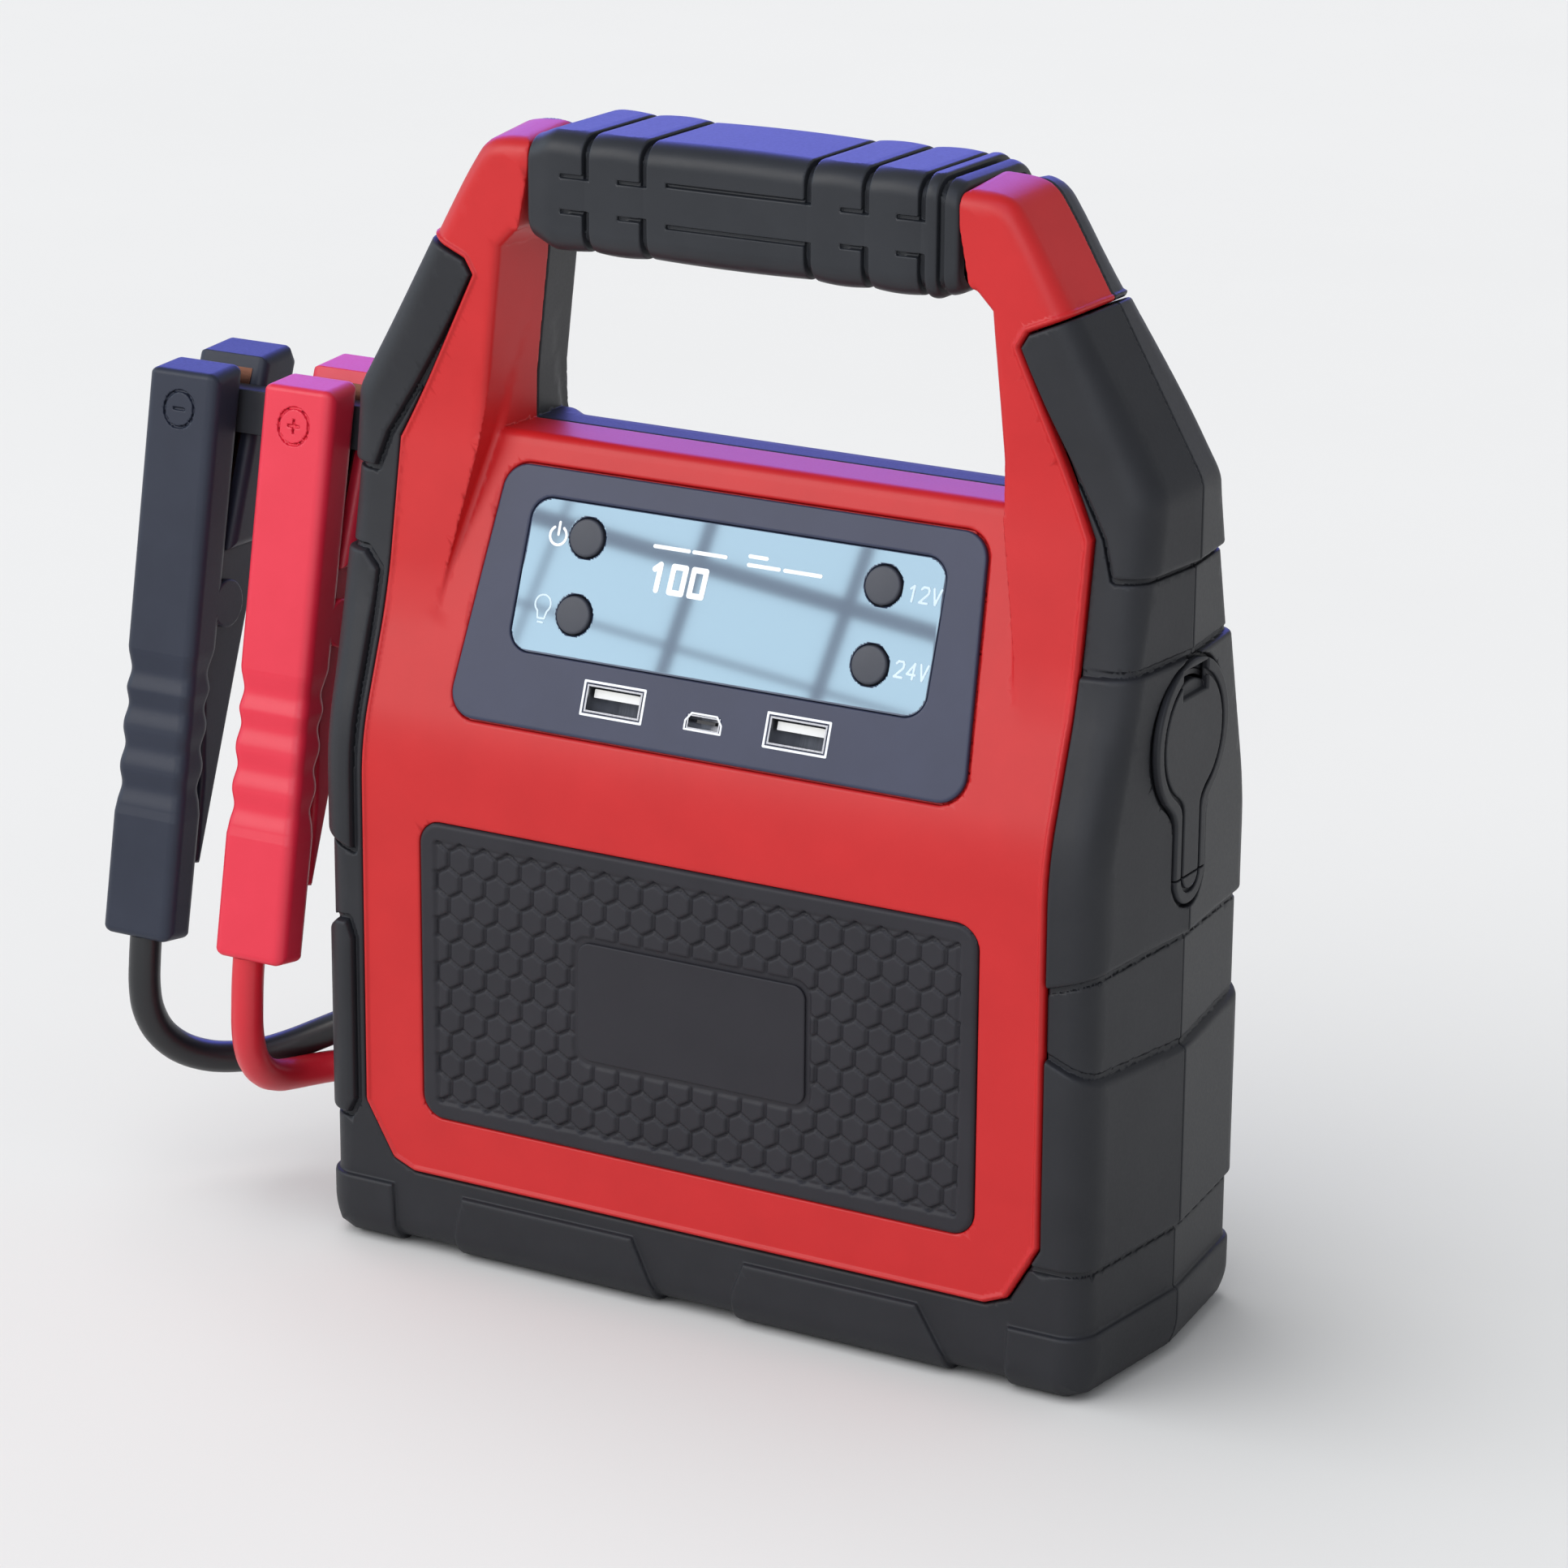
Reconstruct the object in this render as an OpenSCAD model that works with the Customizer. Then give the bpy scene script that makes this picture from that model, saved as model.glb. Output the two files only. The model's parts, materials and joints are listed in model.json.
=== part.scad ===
// Portable jump starter pack with a carrying handle, two leads and two clamps.
// Origin: on the floor, under the middle of the seam between the two shells.
// -Y is the front with the display, +X the side with the accessory socket.

/* [Shells] */
// Overall height, floor to the top of the grip
body_h = 247; // [245:0.5:250]
// Width of the case at the seam, where it is widest
body_w = 194; // [192:0.5:198]
// Depth of the two shells together
body_d = 73; // [71:0.5:75]
// How much narrower the front and rear faces are than the seam
draft_x = 8; // [4:0.5:9]
// Wall thickness of the moulded shells
wall = 2.6; // [2.2:0.1:3]
// Thickness of the rubber bumpers
rubber_t = 2.6; // [2.2:0.1:3]
// Depth of the pillars and the handle in front of the seam
slab_front = 18.5; // [18:0.5:19]
// Depth of the pillars and the handle behind the seam
slab_rear = 15.5; // [15:0.5:16]

/* [Handle] */
// Length of the rubber grip sleeve
grip_l = 101; // [96:0.5:103]
// Height of the grip sleeve
grip_h = 25.7; // [25:0.1:26.4]
// Thickness of the sleeve wall
grip_t = 3; // [2.5:0.1:3.5]

/* [Display] */
// Diameter of the four round keys
button_d = 8.1; // [7.5:0.1:8.6]
// Gap between a key and its hole
button_gap = 0.25; // [0.15:0.05:0.35]
// Travel of a key
button_travel = 0.6; // [0.4:0.1:0.6]

/* [Socket] */
// Bore of the 12 volt accessory socket
socket_bore_d = 21; // [20.9:0.1:21.4]
// Diameter of the rubber cover
cover_d = 30.4; // [29:0.2:31]

/* [Clamps] */
// Width of a clamp arm
clamp_w = 18.5; // [18:0.1:19]
// Diameter of the hinge pin
pin_d = 3; // [2.8:0.1:3.2]
// Radial clearance of the hinge
pin_gap = 0.05; // [0.03:0.01:0.08]
// Distance from the middle of the case to the middle of the red clamp
red_x = 113.6; // [113:0.1:115]
// Distance from the middle of the case to the middle of the black clamp
black_x = 144.05; // [143.5:0.1:146]

/* [Leads] */
// Diameter of the two starting leads
lead_d = 7.2; // [6.6:0.1:7.4]

/* [Lamp] */
// How far the work lamp stands behind the rear shell
lamp_out = 23; // [18:0.5:24]
// Width of the work lamp
lamp_w = 112; // [104:1:116]

/* [Hidden] */
$fn = 48;

RED = [0.78, 0.16, 0.16];
BLACK = [0.16, 0.17, 0.18];
RUBBER = [0.2, 0.21, 0.23];
COPPER = [0.72, 0.42, 0.25];
STEEL = [0.7, 0.71, 0.73];

hw = body_w / 2;
hd = body_d / 2;
hs = slab_front;
hr = slab_rear;
zc = 0;
kx = 1 - draft_x / body_w;
kz = 0.9885;

// ---- polygon helpers -------------------------------------------------
function unit(v) = v / norm(v);
// moves each edge of a counter-clockwise polygon inwards by d
function inset(p, d) = let(n = len(p)) [for (i = [0:n - 1])
    let(a = p[(i + n - 1) % n], b = p[i], c = p[(i + 1) % n],
        u = unit(b - a), w = unit(c - b),
        m = [-u.y, u.x], q = [-w.y, w.x])
    b + (m + q) * d / (1 + m * q)];
// rounds the corners of a polygon with r[i] or one radius
function rounded(p, r, n = 5) = let(k = len(p)) [for (i = [0:k - 1])
    let(a = p[(i + k - 1) % k], b = p[i], c = p[(i + 1) % k],
        u = unit(a - b), w = unit(c - b), h = acos(u * w) / 2,
        o = b + unit(u + w) * r / sin(h),
        s = b + u * r / tan(h), e = b + w * r / tan(h),
        a0 = atan2(s.y - o.y, s.x - o.x), a1 = atan2(e.y - o.y, e.x - o.x),
        da = (a1 - a0 + 540) % 360 - 180)
    for (j = [0:n]) o + r * [cos(a0 + da * j / n), sin(a0 + da * j / n)]];
function flip(p) = [for (i = [len(p) - 1:-1:0]) [-p[i].x, p[i].y]];
function both(p) = concat(p, flip(p));

// ---- outlines seen from the front (X, Z) ------------------------------
case_half = [[91, 0], [hw - 1.8, 1.8], [hw, 6], [hw, 188.5], [77.8, 221.5],
             [67.2, body_h - 7.2], [63.8, body_h - 2.9], [59.6, body_h - 0.9], [54, body_h - 0.5]];
case_line = both(case_half);
hole_line = both([[60.9, 181.2], [60.5, 190], [57.4, 218], [54, 223.9]]);
// the border of the rubber bumper on the front and rear faces
skin_half = [[70, 18.4], [75.4, 20.6], [82.6, 33], [82.2, 178], [64.6, 214.6],
             [66.4, 217.6], [78, 222.6], [110, 236], [110, 270]];
skin_line = both(skin_half);

// ---- profile seen from the side (Y, Z) of a half whose handle is s deep ----
function side_line(d, s) = [[-1, -5], [hd - 6, -5], [hd - 6, d], [hd - 2 - d * 0.7, 1.8 + d * 0.8],
    [hd - d, 6 + d * 0.2], [hd - d, 115 - d * 0.3],
    [25.3 - d, 147 - d * 0.2], [s - d, 186], [s - d, 262], [-1, 262]];

// a prism along Y from y = 0, tapered as the case is
module drafted(line, depth) {
    f = depth / hd;
    n = len(line);
    a = [for (p = line) [p.x, 0, p.y]];
    b = [for (p = line) [p.x * (1 - (1 - kx) * f), depth, zc + (p.y - zc) * (1 - (1 - kz) * f)]];
    polyhedron(points = concat(a, b), faces = concat(
        [[for (i = [n - 1:-1:0]) i]],
        [for (i = [0:n - 1]) [i, (i + 1) % n, n + i]],
        [for (i = [0:n - 1]) [(i + 1) % n, n + (i + 1) % n, n + i]],
        [[for (i = [0:n - 1]) n + i]]), convexity = 6);
}
module along_x(line, w) {
    rotate([90, 0, 90]) linear_extrude(height = w, center = true) polygon(line);
}
module along_y(line, y0, y1) {
    translate([0, y1, 0]) rotate([90, 0, 0]) linear_extrude(height = y1 - y0) polygon(line);
}

// ---- half of the case, at y >= 0 ---------------------------------------
module case_solid(s) {
    difference() {
        intersection() {
            drafted(case_line, hd);
            along_x(side_line(0, s), 2 * hw + 20);
        }
        along_y(hole_line, -5, 45);
    }
}
// what lies under the rubber
module under_rubber(s) {
    translate([0, -1, 0]) intersection() {
        drafted(inset(case_line, rubber_t), hd);
        translate([0, 1, 0]) along_x(side_line(rubber_t, s), 2 * hw + 20);
    }
}
module bumper_solid(s) {
    difference() {
        case_solid(s);
        under_rubber(s);
        along_y(skin_line, -3, 60);
    }
}
module shell_solid(s) {
    difference() {
        intersection() {
            case_solid(s);
            union() {
                under_rubber(s);
                along_y(skin_line, -3, 60);
            }
        }
        cavity(s);
    }
}
cavity_line = inset(case_line, rubber_t + wall);
hole_keepout = inset(hole_line, -wall);
module cavity(s) {
    difference() {
        union() {
            intersection() {
                translate([0, -1, 0]) drafted(cavity_line, hd - rubber_t - wall + 1);
                along_x(side_line(rubber_t + wall, s), 2 * hw + 20);
            }
            intersection() {
                translate([0, 20, 0]) along_y(inset(skin_line, wall), -4, hd - wall - 20);
                drafted(cavity_line, hd - wall);
                along_x(side_line(wall, s), 2 * hw + 20);
            }
        }
        along_y(hole_keepout, -5, 60);
        neck(0.01);
        translate([0, 0, 260]) cube([2 * grip_l + 30, 90, 30], center = true);
    }
}
// the part of the case that runs through the grip sleeve
module neck(g) {
    translate([0, 0, body_h - grip_h / 2])
        cube([grip_l - g, 2 * hs + 4, grip_h + 30], center = true);
}
module grip_core() {
    translate([-grip_l / 2 - 2, grip_t - hs, body_h - grip_h + grip_t])
        cube([grip_l + 4, hs + hr - 2 * grip_t, grip_h - 2 * grip_t]);
}
module neck_cut() {
    difference() {
        translate([0, 0, body_h - grip_h / 2])
            cube([grip_l + 0.2, 2 * hs + 8, grip_h + 12], center = true);
        grip_core();
    }
}

screw_at = [[76, 26], [76, 108], [66, 205], [60, 234.5]];
module bosses(s0) {
    for (p = screw_at, s = [-1, 1])
        translate([s * p.x, 0, p.y]) rotate([-90, 0, 0])
            cylinder(h = (p.y < 120 ? hd - wall : s0 - wall) + 0.5, r = 4.4);
}
// pocket in the left side that the foot of the clamp rail sits in
module rail_pocket() {
    translate([-110, -9, 161]) cube([16, 18, 24]);
}
// round seat for the rubber cover and the barrel behind it
module socket_cuts(front) {
    translate([52, 0, socket_z]) rotate([0, 90, 0]) cylinder(h = 60, d = socket_bore_d + 6.4);
    translate([94.6, 0, socket_z]) rotate([0, 90, 0]) cylinder(h = 8, d = cover_d + 0.8);
    translate([94.6, -7.2, 99]) cube([8, 14.4, socket_z - 99]);
}
socket_z = 135;
gland_at = [[38, 0], [26, 0]];
module gland_cuts() {
    for (g = gland_at) translate([-102, 0, g.x]) rotate([0, 90, 0]) cylinder(h = 14, r = 4.7);
    for (g = gland_at) translate([-104, 0, g.x]) rotate([0, 90, 0]) cylinder(h = 8, r = 5.9);
}

// ---- display area on the sloped front ----------------------------------
// plane through y = -33, z = 124.6, leaning back by tilt
tilt = 19.4;
module on_panel() { translate([0, -33, 124.6]) rotate([90 - tilt, 0, 0]) children(); }
bezel_line = rounded([[61.9, -1.4], [57.1, 53.6], [-57.1, 53.6], [-61.9, -1.4]], 6);
window_line = rounded([[49.8, 14.4], [49.5, 47.4], [-49.5, 47.4], [-49.8, 14.4]], 5);
key_at = [[-35, 40], [-35, 23.7], [35.6, 40], [35.6, 23.7]];
usb_at = [[-22, 7.2], [22, 7.2]];

// the recess between the pillars, d deeper than the panel
module recess(d) {
    intersection() {
        translate([0, d, 0]) along_x([[-60, 146.8], [-25.2, 146.8], [-12.9, 181.8],
                 [-12.9, 200], [-60, 200]], 160);
        along_y([[-68.2 - d, 146 - d], [68.2 + d, 146 - d], [60 + d, 184], [60 + d, 200],
                 [-60 - d, 200], [-60 - d, 184]], -60, 0);
    }
}

module front_shell() color(RED) difference() {
    union() {
        mirror([0, 1, 0]) shell_solid(hs);
        intersection() {
            mirror([0, 1, 0]) bosses(hs);
            translate([0, -30, 125]) cube([230, 60, 260], center = true);
        }
        // back wall of the recess and of the display pocket
        intersection() {
            difference() { recess(wall); recess(0); }
            mirror([0, 1, 0]) case_solid(hs);
        }
        on_panel() translate([0, 0, -4.2]) linear_extrude(2.9) polygon(inset(bezel_line, -1.6));
    }
    recess(0);
    neck_cut();
    on_panel() {
        translate([0, 0, -1.4]) linear_extrude(20) polygon(inset(bezel_line, -0.1));
        translate([0, 0, -8]) linear_extrude(8) polygon(window_line);
        for (p = usb_at) translate([p.x - 7.2, p.y - 3.4, -20]) cube([14.4, 6.8, 20]);
        translate([-4.4, 4.2, -20]) cube([8.8, 3.8, 20]);
    }
    // pocket for the grille insert
    along_y(rounded([[67.2, 32.4], [67.2, 99.6], [-67.2, 99.6], [-67.2, 32.4]], 5), -50, -hd + 1.8);
    for (p = screw_at, s = [-1, 1])
        translate([s * p.x, 1, p.y]) rotate([90, 0, 0]) cylinder(h = 15.5, r = 1.5);
    rail_pocket();
    socket_cuts();
    gland_cuts();
}

module rear_shell() color(BLACK) difference() {
    union() {
        shell_solid(hr);
        intersection() {
            bosses(hr);
            translate([0, 30, 125]) cube([230, 60, 260], center = true);
        }
        // back wall of the recess
        intersection() {
            mirror([0, 1, 0]) difference() { recess(wall); recess(0); }
            case_solid(hr);
        }
    }
    mirror([0, 1, 0]) recess(0);
    neck_cut();
    for (p = screw_at, s = [-1, 1])
        translate([s * p.x, -1, p.y]) rotate([-90, 0, 0]) {
            cylinder(h = 60, r = 1.7);
            translate([0, 0, 8]) cylinder(h = 60, r = 3.2);
        }
    // way through for the lamp wires
    translate([0, hd, 72]) cube([10, 20, 8], center = true);
    rail_pocket();
    socket_cuts();
    gland_cuts();
}

module front_bumper() color(RUBBER) difference() {
    mirror([0, 1, 0]) bumper_solid(hs);
    rail_pocket();
    socket_cuts();
    gland_cuts();
}
module rear_bumper() color(RUBBER) difference() {
    bumper_solid(hr);
    rail_pocket();
    socket_cuts();
    gland_cuts();
}

module grip_sleeve() color(BLACK) {
    z = body_h - grip_h / 2;
    difference() {
        translate([0, 0, z]) rotate([0, 90, 0]) linear_extrude(height = grip_l, center = true)
            polygon(rounded([[-grip_h / 2, -hs - 0.4], [grip_h / 2, -hs - 0.4],
                             [grip_h / 2, hr + 0.8], [-grip_h / 2, hr + 0.8]], 6));
        grip_core();
    }
}

module front_grille() color(BLACK) difference() {
    along_y(rounded([[67, 32.6], [67, 99.4], [-67, 99.4], [-67, 32.6]], 5), -hd + 0.2, -hd + 1.8);
    along_y(badge_line, -hd - 1, -hd + 0.9);
}
badge_line = rounded([[27.6, 53], [27.6, 79.6], [-27.6, 79.6], [-27.6, 53]], 3);
module badge_plate() color(RUBBER) along_y(badge_line, -hd + 0.1, -hd + 0.9);

module display_bezel() color([0.2, 0.22, 0.27]) on_panel() difference() {
    translate([0, 0, -1.4]) linear_extrude(1.6) polygon(bezel_line);
    translate([0, 0, -3]) linear_extrude(8) polygon(window_line);
    for (p = usb_at) translate([p.x - 6.8, p.y - 3, -5]) cube([13.6, 6, 10]);
    translate([-4, 4.4, -5]) cube([8, 3.4, 10]);
}
module display_lens() color([0.7, 0.83, 0.88]) on_panel() difference() {
    translate([0, 0, -1.4]) linear_extrude(1.4) polygon(inset(window_line, 0.05));
    for (p = key_at) translate([p.x, p.y, -3]) cylinder(h = 6, d = button_d + 2 * button_gap);
}
module key(p) {
    on_panel() translate([p.x, p.y, 0]) {
        translate([0, 0, -3]) cylinder(h = 3.7, d = button_d);
        translate([0, 0, -3.4]) cylinder(h = 1.2, d = button_d + 2);
    }
}
module power_button() color(BLACK) key(key_at[0]);
module light_button() color(BLACK) key(key_at[1]);
module volts12_button() color(BLACK) key(key_at[2]);
module volts24_button() color(BLACK) key(key_at[3]);

module lcd_module() color([0.75, 0.8, 0.82]) on_panel() translate([-28, 15, -4.6]) cube([56, 32, 3]);
module display_board() color([0.1, 0.35, 0.2]) on_panel() difference() {
    translate([-47, 16.2, -8]) cube([94, 30, 1.6]);
    translate([-40, 43, -10]) cylinder(h = 5, r = 1.2);
}
module tact_switches() color(STEEL) on_panel() for (p = key_at) translate([p.x, p.y, -6.4]) {
    translate([-3, -3, 0]) cube([6, 6, 1.4]);
    translate([0, 0, 1.3]) cylinder(h = 0.9, r = 1.7);
}
module usb_a_sockets() color(STEEL) on_panel() for (p = usb_at) translate([p.x, p.y, -14]) difference() {
    translate([-6.7, -2.9, 0]) cube([13.4, 5.8, 14.1]);
    translate([-6.3, -2.5, 0.6]) cube([12.6, 5, 20]);
}
module usb_a_tongues() color([0.92, 0.92, 0.92]) on_panel() for (p = usb_at)
    translate([p.x - 5.6, p.y + 0.3, -13.4]) cube([11.2, 1.8, 12]);
module micro_usb_socket() color(STEEL) on_panel() translate([0, 6.1, -6]) difference() {
    translate([-3.9, -1.5, 0]) cube([7.8, 3, 6.1]);
    translate([-3.6, -1.2, 0.5]) cube([7.2, 2.4, 9]);
}
module micro_usb_tongue() color(BLACK) on_panel() translate([-2.2, 6, -5.5]) cube([4.4, 0.7, 4.4]);

// ---- accessory socket on the right side --------------------------------
module socket_cover() color(RUBBER) difference() {
    union() {
        translate([94.9, 0, socket_z]) rotate([0, 90, 0]) cylinder(h = 2.4, d = cover_d);
        translate([91.8, 0, socket_z]) rotate([0, 90, 0]) cylinder(h = 3.2, d = socket_bore_d + 2.6);
        translate([94.9, -6.4, 106]) cube([2.4, 12.8, socket_z - 106]);
    }
    // thumb notch at the top
    translate([99.1, 0, socket_z + 11]) rotate([90, 0, 0]) cylinder(h = 10, r = 3, center = true);
}
module cover_anchor() color(RUBBER) {
    translate([94.7, -6.4, 100]) cube([2.4, 12.8, 5.7]);
}
module dc_socket_barrel() color(BLACK) difference() {
    translate([61, 0, socket_z]) rotate([0, 90, 0]) cylinder(h = 33.5, d = socket_bore_d + 6);
    translate([60, 0, socket_z]) rotate([0, 90, 0]) cylinder(h = 60, d = socket_bore_d);
    // wider mouth that takes the plug of the cover
    translate([91.2, 0, socket_z]) rotate([0, 90, 0]) cylinder(h = 10, d = socket_bore_d + 4);
}
// closed inner end of the socket, which holds the centre contact
module dc_socket_insulator() color([0.85, 0.85, 0.8]) difference() {
    translate([52, 0, socket_z]) rotate([0, 90, 0]) cylinder(h = 9, d = socket_bore_d + 6);
    translate([55, 0, socket_z]) rotate([0, 90, 0]) cylinder(h = 10, d = 16);
    translate([50, 0, socket_z]) rotate([0, 90, 0]) cylinder(h = 10, d = 8);
}
module dc_socket_contact() color(STEEL) {
    translate([46, 0, socket_z]) rotate([0, 90, 0]) cylinder(h = 12, d = 8);
    translate([58, 0, socket_z]) rotate([0, 90, 0]) cylinder(h = 2.5, d = 5);
}

// ---- work lamp on the rear ----------------------------------------------
function lamp_line(d) = rounded([[lamp_w / 2 - d, 42 + d], [lamp_w / 2 - d, 102 - d],
    [-lamp_w / 2 + d, 102 - d], [-lamp_w / 2 + d, 42 + d]], 9 - d / 2);
module lamp_housing() color(BLACK) difference() {
    along_y(lamp_line(0), hd, hd + lamp_out);
    along_y(lamp_line(3), hd + 3, hd + lamp_out + 5);
    translate([0, hd, 72]) cube([10, 20, 8], center = true);
}
module lamp_reflector() color([0.85, 0.86, 0.88]) difference() {
    along_y(lamp_line(3.3), hd + 7, hd + lamp_out - 3.5);
    for (s = [-1, 0, 1]) translate([s * 33, hd + 8.5, 72]) rotate([-90, 0, 0])
        cylinder(h = lamp_out, r1 = 7, r2 = 22);
    for (s = [-1, 0, 1]) translate([s * 33, hd + 5, 72]) rotate([-90, 0, 0]) cylinder(h = 9, r = 4);
}
module lamp_lens() color([0.9, 0.93, 0.95]) along_y(lamp_line(3.2), hd + lamp_out - 3, hd + lamp_out - 0.8);
module lamp_led_board() color([0.9, 0.9, 0.88]) {
    along_y([[50, 56], [50, 88], [-50, 88], [-50, 56]], hd + 4, hd + 5.6);
    for (s = [-1, 0, 1]) translate([s * 33 - 2.5, hd + 5.6, 69.5]) cube([5, 1.6, 5]);
}

// ---- inside ----------------------------------------------------------------
module battery_cells() color([0.55, 0.6, 0.68]) for (i = [0:7])
    translate([-69, -29.6 + i * 7.4, 9.4]) cube([138, 7.1, 68]);
module battery_tray() color([0.13, 0.13, 0.14]) difference() {
    translate([-71.4, -30.7, 6.4]) cube([142.8, 61.4, 26]);
    translate([-69.3, -29.9, 9]) cube([138.6, 59.6, 40]);
    for (s = [-1, 1]) translate([s * 76, 0, 26]) rotate([90, 0, 0]) cylinder(h = 90, r = 4.8, center = true);
}
module cell_busbars() color(COPPER) for (s = [-1, 1]) for (i = [0:3])
    translate([s * 50 - 8, -29.3 + i * 14.8, 77.4]) cube([16, 13.9, 1]);
module main_board() color([0.1, 0.35, 0.2]) translate([-70, 4, 84]) cube([114, 1.6, 30]);
module output_relays() color([0.12, 0.13, 0.16]) for (x = [-64, -30]) translate([x, 5.6, 87]) cube([28, 19, 24]);
module case_screws() color(STEEL) for (p = screw_at, s = [-1, 1]) translate([s * p.x, 0, p.y]) rotate([90, 0, 0]) {
    translate([0, 0, -7]) cylinder(h = 20, r = 1.5);
    translate([0, 0, -9]) cylinder(h = 2, r = 2.9);
}
module lead_glands() color(RUBBER) for (g = gland_at) {
    translate([-99.5, 0, g.x]) rotate([0, 90, 0]) cylinder(h = 3.5, r = 5.7);
    translate([-96.5, 0, g.x]) rotate([0, 90, 0]) cylinder(h = 8.5, r = 4.6);
}
// bar that the clamps bite on; its foot sits in the side of the case
module clamp_rail() color(BLACK) {
    translate([-125.5, 0, 0]) along_x([[-2.9, 168.4], [0.5, 168.4], [3.9, 177.8], [-1.0, 177.8]], 55.6);
    translate([-98, -8.7, 161.3]) cube([3.8, 17.4, 23.4]);
}

// ---- leads ---------------------------------------------------------------
black_route = [[-144, -31.3, 58.3], [-144, -32, 53], [-144, -32.4, 47], [-143.8, -31.6, 41],
    [-142.6, -29.2, 35.2], [-140, -25.3, 30.6], [-136.2, -20.6, 27.8], [-131.8, -15.8, 26.8],
    [-127, -11.4, 27.2], [-121.8, -7.4, 29], [-116.4, -4.2, 31.6], [-110.8, -1.8, 34.4],
    [-105.2, -0.4, 36.8], [-99.5, 0, 38]];
red_route = [[-116, -31.3, 58.3], [-116, -32, 53], [-116, -32.4, 47.5], [-116.4, -32, 42],
    [-117.2, -30.2, 36.6], [-118, -27.2, 31.8], [-118.5, -23, 28], [-118.5, -18, 25.6],
    [-117.8, -13, 24.6], [-115.9, -8.6, 24.4], [-112.8, -4.6, 24.6], [-108.4, -1.5, 25],
    [-103.8, -0.3, 25.6], [-99.5, 0, 26]];
// one closed tube of s sides along the points p
function along(p, i) = unit(p[min(i + 1, len(p) - 1)] - p[max(i - 1, 0)]);
module tube(p, d, s, t0, t1) {
    n = len(p);
    rings = [for (i = [0:n - 1])
        let(t = i == 0 ? t0 : (i == n - 1 ? t1 : along(p, i)),
            u = unit(cross(t, [0.9, -0.43, 0.05])), v = cross(t, u))
        for (k = [0:s - 1]) p[i] + d / 2 * (cos(360 * k / s) * u + sin(360 * k / s) * v)];
    faces = concat(
        [[for (k = [0:s - 1]) k]],
        [for (i = [0:n - 2], k = [0:s - 1])
            [i * s + k, (i + 1) * s + k, (i + 1) * s + (k + 1) % s, i * s + (k + 1) % s]],
        [[for (k = [s - 1:-1:0]) (n - 1) * s + k]]);
    polyhedron(points = rings, faces = faces, convexity = 6);
}
module black_lead() color(BLACK) tube(black_route, lead_d, 10, [0, -0.147, -0.989], [1, 0, 0]);
module red_lead() color(RED) tube(red_route, lead_d, 10, [0, -0.147, -0.989], [1, 0, 0]);

// ---- clamps: outlines in (Y, Z), extruded along X -------------------------
front_arm_line = [[-36, 59], [-26.6, 57.6], [-0.8, 183.6], [-12, 183]];
pivot = [-9.5, 131];
module arm_front(x) translate([-x, 0, 0]) difference() {
    union() {
        along_x(front_arm_line, clamp_w);
        // ears that hold the hinge pin
        for (s = [-1, 1]) translate([s * (clamp_w / 2 - 1.05), pivot.x, pivot.y]) rotate([0, 90, 0])
            cylinder(h = 2.1, r = 5.4, center = true);
    }
    // channel that takes the rear arm's handle and the spring
    along_x([[-31.6, 67], [-14, 67], [2, 142], [-14.9, 142], [-17.6, 138]], clamp_w - 4.2);
    translate([0, pivot.x, pivot.y]) rotate([0, 90, 0]) cylinder(h = 40, d = pin_d, center = true);
    jaw_cut(-1);
}
rear_arm_line = [[-8.2, 142.5], [6.8, 183.3], [17.3, 184], [19.1, 180.3], [4.6, 142.5]];
rear_handle_line = [[-21.0, 73.5], [-19.2, 72.6], [1.6, 128], [4.9, 143], [-8.3, 143], [-14.3, 131], [-16.1, 118],
                    [-17.6, 92]];
module arm_rear(x) translate([-x, 0, 0]) difference() {
    union() {
        along_x(rear_arm_line, clamp_w);
        along_x(rear_handle_line, clamp_w - 5);
    }
    translate([0, pivot.x, pivot.y]) rotate([0, 90, 0]) cylinder(h = 40, d = pin_d + 2 * pin_gap, center = true);
    // slot that the spring sits in
    translate([0, pivot.x, pivot.y]) rotate([0, 90, 0]) cylinder(h = 6.4, r = 6.6, center = true);
    jaw_cut(1);
}
// copper jaws: thin plates let into the arms' inner faces
function jaw_line(s) = s < 0 ? [[-7.1, 152.5], [-6.3, 152.3], [-0.7, 180.4], [-1.5, 180.6]]
                             : [[-5.8, 152.5], [-5.0, 152.2], [6.6, 180.5], [5.8, 180.8]];
module jaw_cut(s) along_x(inset(flat_turn(jaw_line(s)), -0.02), 12.4);
function flat_turn(p) = (p[1] - p[0]).x * (p[2] - p[0]).y - (p[1] - p[0]).y * (p[2] - p[0]).x > 0 ? p : [for (i = [3:-1:0]) p[i]];
module jaw(x, s) translate([-x, 0, 0]) along_x(jaw_line(s), 12.2);
module pin(x) translate([-x, pivot.x, pivot.y]) rotate([0, 90, 0]) cylinder(h = clamp_w - 0.4, d = pin_d, center = true);
module coil(x) translate([-x, pivot.x, pivot.y]) {
    for (i = [-2:2]) translate([i * 1.15, 0, 0]) rotate([0, 90, 0])
        rotate_extrude() translate([3.2, 0]) circle(d = 1.1, $fn = 16);
}

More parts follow.
